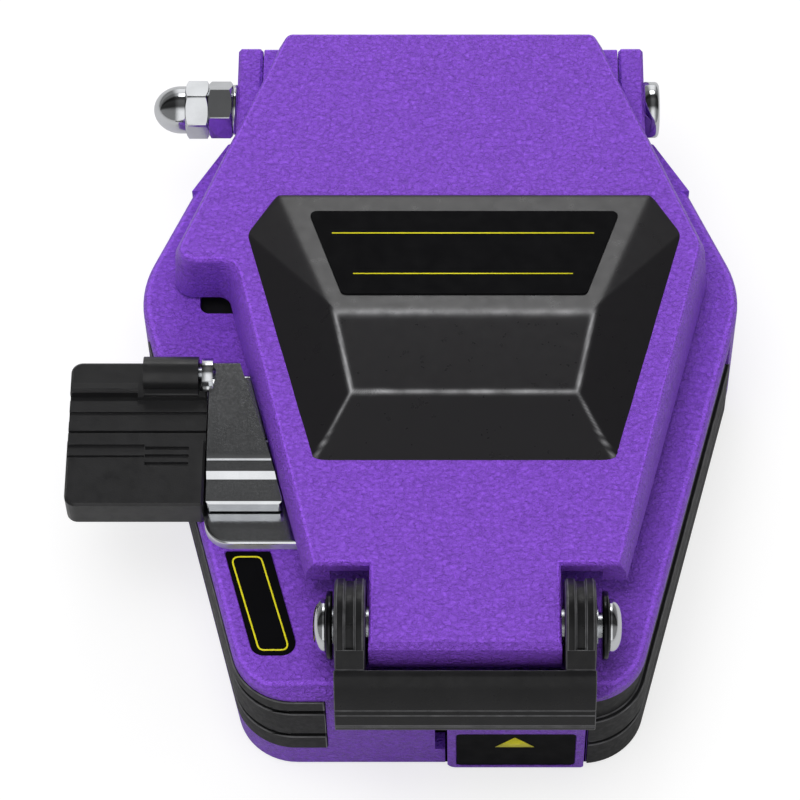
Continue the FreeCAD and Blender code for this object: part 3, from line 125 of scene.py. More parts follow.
class Shader(Nodes):
    """A Principled material with helpers that add procedural detail in millimetres."""

    def __init__(self, name, colour, roughness, metallic=0.0, specular=0.5):
        self.material = bpy.data.materials.new(name)
        self.material.use_nodes = True
        super().__init__(self.material.node_tree)
        self.bsdf = self.tree.nodes["Principled BSDF"]
        self.colour = srgb(colour)
        self.set("Base Color", self.colour)
        self.set("Roughness", roughness)
        self.set("Metallic", metallic)
        self.set("Specular IOR Level", specular)
        self.height = None

    def set(self, socket, value):
        """Lead one of the Principled inputs by an output or a plain value."""
        self.feed(value, self.bsdf.inputs[socket])

    def noise(self, size, detail=2.0, stretch=(1, 1, 1), roughness=0.5, distortion=0.0):
        """Noise on the object's own coordinates, with features about size millimetres across."""
        where = self.node("ShaderNodeTexCoord")
        scale = self.node("ShaderNodeMapping")
        scale.inputs["Scale"].default_value = [share / MM for share in stretch]
        self.link(where.outputs["Object"], scale.inputs["Vector"])
        made = self.node("ShaderNodeTexNoise")
        made.inputs["Scale"].default_value = 1 / size
        made.inputs["Detail"].default_value = detail
        made.inputs["Roughness"].default_value = roughness
        made.inputs["Distortion"].default_value = distortion
        self.link(scale.outputs["Vector"], made.inputs["Vector"])
        return made.outputs["Fac"]

    def spread(self, source, low, high):
        """Low to high over the middle range of a noise."""
        return self.remap(source, 0.3, 0.7, low, high)

    def times(self, share):
        """The base colour times share."""
        return [c * share for c in self.colour[:3]] + [1]

    def vary_colour(self, source, low, high):
        """Base colour times low..high, led by the source."""
        led = self.spread(source, 0, 1)
        self.set("Base Color", self.blend(led, self.times(low), self.times(high)))

    def vary_roughness(self, source, low, high):
        """Roughness of low..high, led by the source."""
        self.set("Roughness", self.spread(source, low, high))

    def bump(self, source, depth):
        """Surface relief of the given depth in millimetres, on top of any earlier relief."""
        made = self.node("ShaderNodeBump")
        made.inputs["Distance"].default_value = depth * MM
        made.inputs["Strength"].default_value = 1.0
        self.link(source, made.inputs["Height"])
        if self.height:
            self.link(self.height, made.inputs["Normal"])
        self.height = made.outputs["Normal"]
        self.set("Normal", self.height)


def srgb(code):
    """A #rrggbb colour as linear RGBA."""
    values = [int(code[i:i + 2], 16) / 255 for i in (1, 3, 5)]
    return [v / 12.92 if v <= 0.04045 else ((v + 0.055) / 1.055) ** 2.4 for v in values] + [1.0]


def purple_paint():
    """Satin paint over a fine leather grain, with painted light by facing: a painted highlight along the
    edges and painted shade on the bevels.
    """
    m = Shader("purple_paint", "#9255e4", 0.45, specular=0.4)
    grain = m.noise(0.46, 3, stretch=(0.75, 1.0, 1.0), roughness=0.62, distortion=0.9)
    # painted light and shade led by the normal's height: edges lightest, slopes lighter, walls and tops
    # plain, bevels darkest
    walls, slopes, bevels, edges, tops = 0.3, 0.6, 0.15, 1.0, 0.3
    facing_up = m.axes_of("Normal")["Z"]
    painted_light = m.ramp(facing_up, [(0.0, walls), (0.3, slopes), (0.6, slopes), (0.7, bevels),
                                   (0.84, edges), (0.93, edges), (0.985, tops), (1.0, tops)])
    factor = m.maths("ADD", m.spread(grain, -0.3, 0.7), painted_light)
    m.set("Base Color", m.blend(factor, m.times(0.76), m.times(1.24), clamped=False))
    m.vary_roughness(m.noise(2.0, 3), 0.32, 0.44)
    m.bump(grain, 0.6)
    return m.material


def black_coat(name, colour, roughness, specular):
    """Dark coating or plastic with an uneven sheen."""
    m = Shader(name, colour, roughness, specular=specular)
    m.vary_colour(m.noise(4.0, 3), 0.85, 1.25)
    m.vary_roughness(m.noise(1.2, 3), roughness * 0.85, roughness * 1.25)
    m.bump(m.noise(0.25, 2), 0.02)
    return m.material


def painted_edge_highlight(name, colour):
    """Painted highlight along bevelled edges: a lighter colour in patches."""
    m = Shader(name, colour, 0.35, specular=0.5)
    m.vary_colour(m.noise(1.6, 3), 0.55, 1.3)
    m.vary_roughness(m.noise(0.8, 2), 0.28, 0.45)
    m.bump(m.noise(0.3, 2), 0.003)
    return m.material


def black_rubber():
    """Matt rubber of the grips and pads."""
    m = Shader("black_rubber", "#1c1c1d", 0.6, specular=0.35)
    m.vary_colour(m.noise(3.0, 3), 0.85, 1.2)
    m.vary_roughness(m.noise(0.8, 2), 0.52, 0.66)
    m.bump(m.noise(0.18, 2), 0.02)
    return m.material


def cap_plastic():
    """Satin plastic, lighter along its ridges: partly rubbed, partly a painted highlight."""
    m = Shader("cap_plastic", "#212022", 0.30, specular=0.5)
    lightened = m.node("ShaderNodeAttribute", attribute_name="wear_and_highlight")
    patchy = m.maths("MULTIPLY", lightened.outputs["Fac"], m.spread(m.noise(2.5, 3), 0.5, 1.3))
    # ridges lighten to pale grey in patches: partly rubbed, partly painted highlight
    m.set("Base Color", m.blend(patchy, m.colour, srgb("#a4a4a6")))
    m.vary_roughness(m.noise(1.5, 3), 0.27, 0.33)
    m.bump(m.noise(0.3, 1), 0.004)
    return m.material


def holder_plastic():
    """Satin plastic of the fibre holder."""
    m = Shader("holder_plastic", "#222223", 0.34, specular=0.5)
    m.vary_colour(m.noise(5.0, 3), 0.9, 1.15)
    m.vary_roughness(m.noise(1.5, 3), 0.28, 0.42)
    m.bump(m.noise(0.2, 2), 0.01)
    return m.material


def label_film():
    """Nearly matt film of the labels, with hardly any reflection."""
    m = Shader("label_film", "#0c0c0e", 0.5, specular=0.04)
    m.vary_colour(m.noise(5.0, 2), 0.92, 1.1)
    m.vary_roughness(m.noise(2.0, 2), 0.45, 0.56)
    m.bump(m.noise(0.3, 2), 0.002)
    return m.material


def bright_metal(name, colour, roughness, brushed=(1, 1, 1)):
    """Plated or ground metal with a faint directional grain."""
    m = Shader(name, colour, roughness, metallic=1.0)
    m.vary_colour(m.noise(3.0, 3), 0.93, 1.04)
    m.vary_roughness(m.noise(0.3, 3, stretch=brushed), roughness * 0.8, roughness * 1.3)
    m.bump(m.noise(0.15, 2, stretch=brushed), 0.004)
    return m.material


def yellow_print():
    """Ink of the lines and marks on the labels."""
    m = Shader("yellow_print", "#f6ec20", 0.35, specular=0.4)
    m.vary_colour(m.noise(0.6, 2), 0.9, 1.05)
    m.vary_roughness(m.noise(0.8, 2), 0.3, 0.4)
    m.bump(m.noise(0.3, 2), 0.002)
    return m.material


def recess():
    """Painted shade for the inside of a driver socket: dark metal on a thin sheet."""
    m = Shader("recess", "#2a2a2c", 0.4, metallic=0.8)
    m.vary_colour(m.noise(0.3, 2), 0.8, 1.2)
    m.vary_roughness(m.noise(0.3, 2), 0.34, 0.46)
    m.bump(m.noise(0.2, 2), 0.003)
    return m.material


def platform_edge_highlight():
    """Painted highlight on the ground platform's edges and upright faces: a light, half-metallic finish."""
    m = Shader("platform_edge_highlight", "#e4e6e9", 0.42, metallic=0.35)
    m.vary_colour(m.noise(1.0, 3), 0.9, 1.05)
    m.vary_roughness(m.noise(0.3, 2), 0.38, 0.5)
    m.bump(m.noise(0.15, 2), 0.004)
    return m.material


def dark_steel():
    """Polished steel of the flap with a near-black colour, a painted dark reflection."""
    # the near-black colour paints the dark reflection that a polished face shows
    m = Shader("dark_steel", "#2b2b2d", 0.16, metallic=0.9)
    m.vary_colour(m.noise(3.0, 3), 0.9, 1.12)
    m.vary_roughness(m.noise(0.4, 3, stretch=(0.1, 1, 1)), 0.12, 0.22)
    m.bump(m.noise(0.2, 2), 0.002)
    return m.material


FINISHES = {
    "purple_casting": purple_paint(),
    "black_steel": black_coat("black_steel", "#1b1b1c", 0.38, 0.4),
    "black_rubber": black_rubber(),
    "grip_plastic": black_rubber(),
    "label_film": label_film(),
    "pad_rubber": black_rubber(),
    "machined_steel": bright_metal("machined_steel", "#b9bcc0", 0.25, (0.1, 1, 1)),
    "aluminium_parts": bright_metal("aluminium_parts", "#c6c8cb", 0.35, (1, 0.1, 1)),
    "polished_steel": bright_metal("polished_steel", "#e6e8eb", 0.14),
    "holder_plastic": holder_plastic(),
    "plated_steel": bright_metal("plated_steel", "#dfe1e4", 0.10),
    "cap_plastic": cap_plastic(),
    "latch_plastic": black_coat("latch_plastic", "#1b1b1c", 0.30, 0.25),
    "blade_steel": bright_metal("blade_steel", "#c9ccd1", 0.12, (1, 0.2, 0.2)),
    "brass_parts": bright_metal("brass_parts", "#c9a95b", 0.25),
    "spring_steel": bright_metal("spring_steel", "#a9adb3", 0.22),
    "yellow_print": yellow_print(),
    # painted highlights for bevelled edges
    "holder_edge_highlight": painted_edge_highlight("holder_edge_highlight", "#9a9a9c"),
    "latch_edge_highlight": painted_edge_highlight("latch_edge_highlight", "#58585a"),
    "grip_edge_highlight": painted_edge_highlight("grip_edge_highlight", "#606062"),
    # painted highlight for the platform's edges and upright faces
    "platform_edge_highlight": platform_edge_highlight(),
    "recess": recess(),
    "dark_steel": dark_steel(),
}


def dress_nodes():
    """Each CAD node gets the finish of its material slot."""
    for part in frame["record"]["subparts"]:
        mesh = nodes[part["node"]].data
        mesh.materials.clear()
        mesh.materials.append(FINISHES[part["material_slot"]])


# ------------------------------------------------------------------ shapes
def span(node):
    """Lowest and highest corner of a CAD node, in millimetres."""
    low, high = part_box(node)
    return low / MM, high / MM


def round_edges(made, width, segments=2, angle=28.0, lightened=False):
    """Bevel an object's sharp edges and even out its shading; lightened bevels take its second finish, a
    painted edge highlight.
    """
    bevel = made.modifiers.new("edges", "BEVEL")
    bevel.width = width * MM
    bevel.segments = segments
    bevel.limit_method = "ANGLE"
    bevel.angle_limit = math.radians(angle)
    bevel.use_clamp_overlap = True
    if lightened:
        bevel.material = 1
    shade = made.modifiers.new("shade", "WEIGHTED_NORMAL")
    shade.weight = 80


def round_node(name, width, edge):
    """The same for a CAD node, whose faces come in unjoined; edge names the finish of its bevels, a painted
    highlight.
    """
    weld = nodes[name].modifiers.new("weld", "WELD")
    weld.merge_threshold = 0.002 * MM
    if edge:
        nodes[name].data.materials.append(FINISHES[edge])
    round_edges(nodes[name], width, lightened=bool(edge))


def round_nodes():
    """Rounded edges on the CAD nodes that stay in view as they are."""
    # name, bevel width in millimetres, and the finish of the bevels, which paints a highlight on them
    for name, width, edge in (("base_housing", 0.3, None), ("lid_shell", 0.35, None),
                              ("fibre_holder", 0.2, "holder_edge_highlight"), ("fibre_clamp_flap", 0.14, None),
                              ("fibre_platform", 0.25, "platform_edge_highlight"), ("push_plate", 0.08, None),
                              ("left_side_grip", 0.16, "grip_edge_highlight"),
                              ("right_side_grip", 0.16, "grip_edge_highlight"), ("cap_label", 0.05, None)):
        round_node(name, width, edge)


def finish_platform_walls():
    """The platform's upright faces take the finish of its edges, the painted highlight."""
    upright = 0.3
    for face in nodes["fibre_platform"].data.polygons:
        if abs(face.normal.z) < upright:
            face.material_index = 1


def mesh_of(name, verts, faces, smooth):
    """Mesh from points in millimetres, with doubled points joined and normals outward."""
    mesh = bpy.data.meshes.new(name)
    mesh.from_pydata([Vector(v) * MM for v in verts], [], faces)
    form = bmesh.new()
    form.from_mesh(mesh)
    bmesh.ops.remove_doubles(form, verts=form.verts, dist=0.001 * MM)
    bmesh.ops.recalc_face_normals(form, faces=form.faces)
    for face in form.faces:
        face.smooth = smooth
    form.to_mesh(mesh)
    form.free()
    return mesh


def placed(name, data):
    """New object of the data in the scene."""
    made = bpy.data.objects.new(name, data)
    bpy.context.scene.collection.objects.link(made)
    return made


def piece(name, verts, faces, body, slot, finishes, replaced=()):
    """A smooth-shaded mesh piece that rides a body and stands for the replaced CAD nodes."""
    mesh = mesh_of(name, verts, faces, smooth=True)
    made = placed(name, mesh)
    for finish in finishes:
        mesh.materials.append(finish)
    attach(made, body)
    if replaced:
        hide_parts(*replaced)
    return made


def gathered(*forms):
    """Several (points, faces) forms as one."""
    verts, faces = [], []
    for points, loops in forms:
        base = len(verts)
        verts += [tuple(p) for p in points]
        faces += [[base + i for i in loop] for loop in loops]
    return verts, faces


def skin(rings, closed=False):
    """Faces between rings of equal length, with end caps unless the rings join up."""
    n = len(rings[0])
    verts = [p for ring in rings for p in ring]
    faces = []
    last = len(rings) if closed else len(rings) - 1
    for r in range(last):
        a, b = r * n, (r + 1) % len(rings) * n
        faces += [[a + i, a + (i + 1) % n, b + (i + 1) % n, b + i] for i in range(n)]
    if not closed:
        faces += [list(range(n)), [(len(rings) - 1) * n + i for i in range(n)]]
    return verts, faces


def turned_x(profile, x0, way, y0, z0, count=72):
    """Turned form on an axis along X; profile is (distance from x0, radius) in order."""
    smallest = 0.004
    rings = []
    for along, radius in profile:
        r = max(radius, smallest)
        rings.append([(x0 + way * along, y0 + r * math.cos(a), z0 + r * math.sin(a))
                      for a in (math.tau * i / count for i in range(count))])
    return skin(rings)


def arc(centre, r, start, end, steps, stretch=1.0):
    """Arc as (along, radius) pairs, drawn out along by stretch; angles run from the rim to the axis."""
    found = []
    for i in range(steps + 1):
        a = math.radians(start + (end - start) * i / steps)
        found.append((centre[0] + stretch * r * math.sin(a), centre[1] + r * math.cos(a)))
    return found


def hexagon_radius(angle, flats, turn):
    """Distance from a nut's axis to its sides; turn is the angle of one flat's middle."""
    off_middle = (math.degrees(angle) - turn + 30) % 60 - 30
    return flats / 2 / math.cos(math.radians(off_middle))


def nut_x(flats, length, x0, way, y0, z0, turn, count=120):
    """Hexagon on an axis along X, with both ends chamfered by a cone."""
    cone_r, cone_slope = flats / 2 * 1.01, 0.6
    rings = [[], [], [], []]
    for i in range(count):
        a = math.tau * i / count
        r = hexagon_radius(a, flats, turn)
        end_r, fall = min(r, cone_r), max(r - cone_r, 0) * cone_slope
        places = ((0, end_r), (fall, r), (length - fall, r), (length, end_r))
        for ring, (along, reach) in zip(rings, places):
            ring.append((x0 + way * along, y0 + reach * math.cos(a), z0 + reach * math.sin(a)))
    return skin(rings)


def bar_x(section, x0, x1):
    """Section of (y, z) points drawn out along X."""
    return skin([[(x, y, z) for y, z in section] for x in (x0, x1)])


def smooth_line(points, steps=6):
    """Catmull-Rom line through 2-D points."""
    ends = [points[0]] + list(points) + [points[-1]]
    line = []
    for p, q, r, s in zip(ends, ends[1:], ends[2:], ends[3:]):
        for i in range(steps):
            t = i / steps
            line.append(tuple(0.5 * (2 * b + (c - a) * t + (2 * a - 5 * b + 4 * c - d) * t * t
                                     + (3 * b - a - 3 * c + d) * t ** 3)
                              for a, b, c, d in zip(p, q, r, s)))
    line.append(points[-1])
    return line


def band(path, width, place, thickness):
    """Thin raised strip along a closed or open flat path; place turns (u, v, height) into a point."""
    closed = path[0] == path[-1]
    points = path[:-1] if closed else path
    last = len(points) - 1
    rings = []
    for i, (u, v) in enumerate(points):
        before = points[i - 1] if i or closed else points[0]
        after = points[(i + 1) % len(points)] if i < last or closed else points[-1]
        du, dv = after[0] - before[0], after[1] - before[1]
        length = math.hypot(du, dv)
        nu, nv = -dv / length * width / 2, du / length * width / 2
        rings.append([place(u + nu, v + nv, 0), place(u + nu, v + nv, thickness),
                      place(u - nu, v - nv, thickness), place(u - nu, v - nv, 0)])
    return skin(rings, closed)


def rounded_outline(corners, radii, steps=6):
    """Closed flat path whose corners are rounded, each by its own radius."""
    path = []
    for i, radius in enumerate(radii):
        corner = Vector(corners[i])
        before, after = Vector(corners[i - 1]), Vector(corners[(i + 1) % len(corners)])
        a, b = (before - corner).normalized(), (after - corner).normalized()
        reach = radius / math.tan(a.angle(b) / 2)
        start, end = corner + a * reach, corner + b * reach
        for k in range(steps + 1):
            t = k / steps
            path.append(tuple((1 - t) ** 2 * start + 2 * t * (1 - t) * corner + t * t * end))
    return path + path[:1]


# ------------------------------------------------------------------ hinge hardware
hinge_y, hinge_z = 44.4, 24.0
nut_flats = 7.0


def hinge_hardware():
    """Washer, lock nut and acorn nut, each turned as it was tightened."""
    bright = FINISHES["plated_steel"]
    washer_t, washer_gap = 0.7, 0.02
    lock_nut_t, nut_gap = 3.2, 0.05
    collar_t, dome_start, dome_r, dome_stretch = 3.05, 3.9, 3.25, 1.14
    lock_nut_turn, acorn_nut_turn = 50.5, 7.5
    start = span("hinge_washer")[1].x
    ring = [(0, 2.05), (0, 3.3), (0.12, 3.45), (0.55, 3.45), (washer_t, 3.3), (washer_t, 2.05)]
    washer = turned_x(ring, start, -1, hinge_y, hinge_z)
    piece("hinge_washer_form", *washer, "root", "plated_steel", [bright], ["hinge_washer"])
    start -= washer_t + washer_gap
    nut = nut_x(nut_flats, lock_nut_t, start, -1, hinge_y, hinge_z, lock_nut_turn)
    made = piece("hinge_lock_nut_form", *nut, "root", "plated_steel", [bright], ["hinge_lock_nut"])
    round_edges(made, 0.14, 3)
    start -= lock_nut_t + nut_gap
    collar = nut_x(nut_flats, collar_t, start, -1, hinge_y, hinge_z, acorn_nut_turn)
    profile = [(3.0, dome_r - 0.1), (3.15, dome_r)]
    profile += arc((dome_start, 0), dome_r, 0, 90, 16, dome_stretch)
    dome = turned_x(profile, start, -1, hinge_y, hinge_z)
    made = piece("hinge_acorn_nut_form", *gathered(collar, dome), "root", "plated_steel", [bright],
                 ["hinge_acorn_nut"])
    round_edges(made, 0.14, 3)


def bolt_head():
    """Button head with its hexagon socket as a thin dark sheet of painted shade, and the shaft behind it."""
    low, high = span("hinge_bolt")
    head_t, shaft_r, tip_gap = 2.1, 2.0, 0.2
    socket_flats, socket_t, socket_proud = 2.5, 0.03, 0.01
    profile = [(-2.0, shaft_r), (0, shaft_r), (0, 3.65), (0.12, 3.85), (1.55, 3.85), (1.85, 3.75),
               (2.05, 3.45), (head_t, 3.1)]
    head = turned_x(profile, high.x - head_t, 1, hinge_y, hinge_z)
    length = high.x - low.x - head_t - tip_gap
    shaft = turned_x([(0, shaft_r), (length, shaft_r)], low.x, 1, hinge_y, hinge_z)
    piece("hinge_bolt_form", *gathered(head, shaft), "root", "plated_steel", [FINISHES["plated_steel"]],
          ["hinge_bolt"])
    # the socket is a flat hexagon at the head's face, dark as painted shade, with no hollow
    bottom = high.x + socket_proud - socket_t
    socket = nut_x(socket_flats, socket_t, bottom, 1, hinge_y, hinge_z, 0, 48)
    piece("hinge_bolt_socket_shade", *socket, "root", "plated_steel", [FINISHES["recess"]])


def lid_cheeks():
    """Blocks under the lid's rear corners that fill the room beside the lugs."""
    inner_x, outer_x = 19.8, 24.38
    section = [(46.0, 24.3), (52.8, 24.3), (52.85, 26.2), (52.6, 26.75), (52.05, 27.05), (46.0, 27.6)]
    forms = [bar_x(section, side * inner_x, side * outer_x) for side in (1, -1)]
    paint = FINISHES["purple_casting"]
    made = piece("lid_cheek_pair", *gathered(*forms), "lid", "purple_casting", [paint])
    round_edges(made, 0.15)


# ------------------------------------------------------------------ latch
latch_y, latch_z = -36.5, 27.3


def cross_recess(x, way, r, depth):
    """Cutters for a cross recess with arms that taper as they go down."""
    turned, above = 20, 0.3
    top_arm, top_half = r * 0.62, 0.42
    bottom_arm, bottom_half = r * 0.24, 0.3
    forms = []
    for angle in (turned, turned + 90):
        c, s = math.cos(math.radians(angle)), math.sin(math.radians(angle))
        rings = []
        for along, arm, half in ((above, top_arm, top_half), (-depth, bottom_arm, bottom_half)):
            corners = [(-arm, -half), (arm, -half), (arm, half), (-arm, half)]
            rings.append([(x + way * along, latch_y + u * c - v * s, latch_z + u * s + v * c)
                          for u, v in corners])
        forms.append(skin(rings))
    return forms


def carve(made, forms):
    """Take the cutter forms out of a piece, for good."""
    for verts, faces in forms:
        cutter = placed("cutter", mesh_of("cutter", verts, faces, smooth=False))
        cutting = made.modifiers.new("cut", "BOOLEAN")
        cutting.operation = "DIFFERENCE"
        cutting.object = cutter
        cutting.solver = "EXACT"
        bpy.context.view_layer.update()
        evaluated = made.evaluated_get(bpy.context.evaluated_depsgraph_get())
        result = bpy.data.meshes.new_from_object(evaluated)
        made.modifiers.clear()
        spent = [made.data, cutter.data]
        made.data = result
        bpy.data.objects.remove(cutter)
        for mesh in spent:
            bpy.data.meshes.remove(mesh)


def latch_hardware():
    """Washers beside the ears in the near-black painted-reflection steel, and a domed screw at each end of
    the axle.
    """
    low, high = span("latch_washers")
    washer_t = 0.8
    ring = [(0, 1.2), (0, 4.3), (0.12, 4.4), (0.62, 4.4), (washer_t, 4.2), (washer_t, 1.2)]
    washers = [turned_x(ring, x, way, latch_y, latch_z)
               for x, way in ((low.x + washer_t, -1), (high.x - washer_t, 1))]
    piece("latch_washer_pair", *gathered(*washers), "latch", "plated_steel", [FINISHES["dark_steel"]],
          ["latch_washers"])
    head_r, head_t, recess_depth = 3.45, 1.72, 0.9
    dome_r, dome_t = 2.35, 1.4
    profile = [(0, 0), (0, 3.3), (0.1, 3.42), (0.3, head_r)]
    profile += arc((0.3, head_r - dome_r), dome_r, 12, 84, 6, dome_t / dome_r)
    profile += [(0.3 + dome_t, head_r - dome_r), (head_t, 0.5), (head_t, 0)]
    for side, x, way in (("left", low.x, -1), ("right", high.x, 1)):
        head = turned_x(profile, x, way, latch_y, latch_z)
        made = piece("latch_screw_" + side, *head, "latch", "plated_steel", [FINISHES["plated_steel"]],
                     ["latch_screws"])
        carve(made, cross_recess(x + way * head_t, way, head_r, recess_depth))
        round_edges(made, 0.06, 2, 35)


def bail():
    """Hollow-fronted bar between two ribbed ears, with a lip along its lower edge."""
    low, high = span("latch_bail")
    ear_t, ear_r, groove_r, tie_inset = 4.0, 6.0, 5.65, 0.15
    top_z, back_y = 28.7, -43.35
    top = smooth_line([(back_y, top_z), (-44.25, 28.6), (-45.25, 27.5), (-46.1, 25.6), (-46.65, 23.8)], 5)
    lower = [(-46.5, 23.4), (-46.95, 22.9), (-47.35, 20.9), (-47.25, 20.7), (-47.38, 20.5), (-47.35, 19.6),
             (-46.9, 18.8), (-45.7, 16.5), (-45.1, 15.7), (-43.95, 15.3), (back_y, 15.6)]
    forms = [bar_x(top + lower, low.x, high.x)]
    ear = [(0, 2.6), (0, 5.5), (0.12, 5.8), (0.35, ear_r), (1.3, ear_r), (1.4, groove_r), (2.6, groove_r),
           (2.7, ear_r), (3.65, ear_r), (3.88, 5.8), (ear_t, 5.5), (ear_t, 2.6)]
    tie = [(latch_y, latch_z - ear_r), (-41.5, 30.6), (-42.4, 29.9), (back_y, top_z), (back_y, 21.3)]
    for x0 in (low.x, high.x - ear_t):
        forms.append(turned_x(ear, x0, 1, latch_y, latch_z, 96))
        forms.append(bar_x(tie, x0 + tie_inset, x0 + ear_t - tie_inset))
    made = piece("latch_bail_form", *gathered(*forms), "latch", "latch_plastic",
                 [FINISHES["latch_plastic"], FINISHES["latch_edge_highlight"]], ["latch_bail"])
    # the bevels take the latch's second finish, a painted highlight
    round_edges(made, 0.16, 2, 24, lightened=True)


# ------------------------------------------------------------------ cap and label
cap_x, cap_low_z = 3.2, 30.9
cap_foot = [(25.0, 25.85, 31.0), (28.8, 19.7, 31.0), (20.2, -14.7, 31.0)]
cap_crown = [(24.7, 25.5, 31.4), (17.2, 5.5, 34.4), (14.5, -6.3, 34.15)]
cap_corner_radii = (2.2, 2.2, 3.4, 3.4, 2.2, 2.2)
cap_softness, cap_step = 0.045, 0.36
# how lightened each ridge is, partly rubbed and partly painted highlight, by the two faces that meet there,
# and how fast it fades beside it
ridge_wear_and_highlight = {("brow", "sides"): 1.0, ("brow", "front"): 0.9, ("front", "sides"): 0.6, ("label", "brow"): 0.6}
wear_and_highlight_fade = 1.25
print_t = 0.03


def cap_planes():
    """The cap's faces as (name, z at origin, slope in x, slope in y), about the cap's middle."""
    (f0, f1, f2), (c0, c1, c2) = cap_foot, cap_crown
    m0, m1, m2 = [(-x, y, z) for x, y, z in cap_crown]
    corners = [("label", c0, c1, m0), ("brow", c1, c2, m1), ("front", c2, f2, m2), ("rear", c0, f0, m0)]
    for name, side in (("right", 1), ("left", -1)):
        for three in ((f0, f1, c0), (f1, c1, c0), (f1, c2, c1), (f1, f2, c2)):
            corners.append([name] + [(side * x, y, z) for x, y, z in three])
    planes = []
    for name, a, b, c in corners:
        a, b, c = Vector(a), Vector(b), Vector(c)
        n = (b - a).cross(c - a)
        planes.append((name, a.z + (n.x * a.x + n.y * a.y) / n.z, -n.x / n.z, -n.y / n.z))
    return planes


def cap_rim():
    """Points round the cap's foot, close enough together for its ridges."""
    foot = cap_foot + [(-x, y, z) for x, y, z in reversed(cap_foot)]
    outline = rounded_outline([(x, y) for x, y, z in foot], cap_corner_radii, 8)
    rim = []
    for (x0, y0), (x1, y1) in zip(outline, outline[1:]):
        steps = max(1, round(math.dist((x0, y0), (x1, y1)) / cap_step))
        rim += [(x0 + (x1 - x0) * k / steps, y0 + (y1 - y0) * k / steps) for k in range(steps)]
    return rim


def cap_point(planes, x, y):
    """Height of the cap at a point, and how lightened it is there by rubbing and painted highlight: about 1
    on a ridge and 0 on a face.
    """
    heights = {}
    for name, base, slope_x, slope_y in planes:
        heights[name] = min(heights.get(name, math.inf), base + slope_x * x + slope_y * y)
    low = min(heights.values())
    weights = {name: math.exp((low - height) / cap_softness) for name, height in heights.items()}
    total = sum(weights.values())
    share = {name: weight / total for name, weight in weights.items()}
    share["sides"] = share["left"] + share["right"]
    # two faces that share a point evenly make a product of a quarter
    met = 4 * sum(lightened * share[a] * share[b] for (a, b), lightened in ridge_wear_and_highlight.items())
    return low - cap_softness * math.log(total), met ** wear_and_highlight_fade


def cap():
    """Cap whose faces flow into each other at soft ridges, with its rubbed and painted-highlight lightening
    kept as an attribute.
    """
    planes, rim = cap_planes(), cap_rim()
    middle_y, low_wall, count = 4.0, 0.05, 90
    levels = [1.0, 0.9985, 0.996, 0.99] + [0.98 - 0.98 * k / count for k in range(count)] + [0.0]
    rings, wear_and_highlight = [], []
    for level in levels:
        ring = []
        for x, y in rim:
            u, v = x * level, middle_y + (y - middle_y) * level
            z, lightened = cap_point(planes, u, v)
            ring.append((cap_x + u, v, cap_low_z if level == 1.0 else max(z, cap_low_z + low_wall)))
            wear_and_highlight.append(lightened)
        rings.append(ring)
    verts, faces = skin(rings)
    without_ends = faces[:-2]
    made = piece("lid_cap_form", verts, without_ends, "lid", "cap_plastic", [FINISHES["cap_plastic"]],
                 ["lid_cap"])
    near = KDTree(len(verts))
    for i, point in enumerate(verts):
        near.insert(Vector(point) * MM, i)
    near.balance()
    mark = made.data.attributes.new("wear_and_highlight", "FLOAT", "POINT")
    for vertex, value in zip(made.data.vertices, mark.data):
        value.value = wear_and_highlight[near.find(vertex.co)[1]]


def on_cap(x, y, height):
    """Point above the cap's label face."""
    (_, rear_y, rear_z), (_, front_y, front_z), _ = cap_crown
    rise = (front_z - rear_z) / (rear_y - front_y)
    across = math.hypot(1, rise)
    z = rear_z + (rear_y - y) * rise
    return (x, y + height * rise / across, z + height / across)


def cap_lines():
    """Two thin lines printed across the cap's label."""
    film_t = 0.2
    for name, y, x0, x1, width in (("cap_line_rear", 18.77, -14.28, 20.38, 0.2),
                                   ("cap_line_front", 11.81, -11.38, 17.46, 0.17)):
        verts, faces = band([(x0, y), (x1, y)], width, lambda u, v, h: on_cap(u, v, film_t + h), print_t)
        piece(name, verts, faces, "lid", "label_film", [FINISHES["yellow_print"]])


def flap_curl():
    """Rolled end of the flap's ear, in front of the hinge barrel."""
    start_x, curl_y, curl_z, length = -31.1, -0.85, 26.0, 1.4
    ring = [(0, 0.3), (0, 0.62), (0.1, 0.75), (1.3, 0.75), (length, 0.62), (length, 0.3)]
    form = turned_x(ring, start_x, 1, curl_y, curl_z, 40)
    piece("flap_ear_curl", *form, "holder_flap", "polished_steel", [FINISHES["polished_steel"]])


# ------------------------------------------------------------------ printed marks
def push_mark():
    """Triangle printed on the push plate's label."""
    front, sunk = span("push_label")[0].y, 0.02
    corners = [(7.2, 7.0), (12.3, 7.0), (9.75, 9.9)]
    verts = [(x, y, z) for y in (front + sunk, front - print_t) for x, z in corners]
    faces = [[0, 1, 2], [3, 4, 5], [0, 1, 4, 3], [1, 2, 5, 4], [2, 0, 3, 5]]
    piece("push_mark", verts, faces, "slider", "label_film", [FINISHES["yellow_print"]])


def dust_border():
    """Border printed inside the edge of the slanting label on the base."""
    low, high = span("dust_label")
    lean, inset, radius, line_w = 4.15, 0.75, 0.9, 0.22
    side_inset = inset * 0.8
    corners = [(low.x + inset, high.y - inset), (high.x - lean - side_inset, high.y - inset),
               (high.x - inset, low.y + inset), (low.x + lean + side_inset, low.y + inset)]
    path = rounded_outline(corners, [radius] * len(corners))
    verts, faces = band(path, line_w, lambda u, v, h: (u, v, high.z + h), print_t)
    piece("dust_label_border", verts, faces, "root", "label_film", [FINISHES["yellow_print"]])


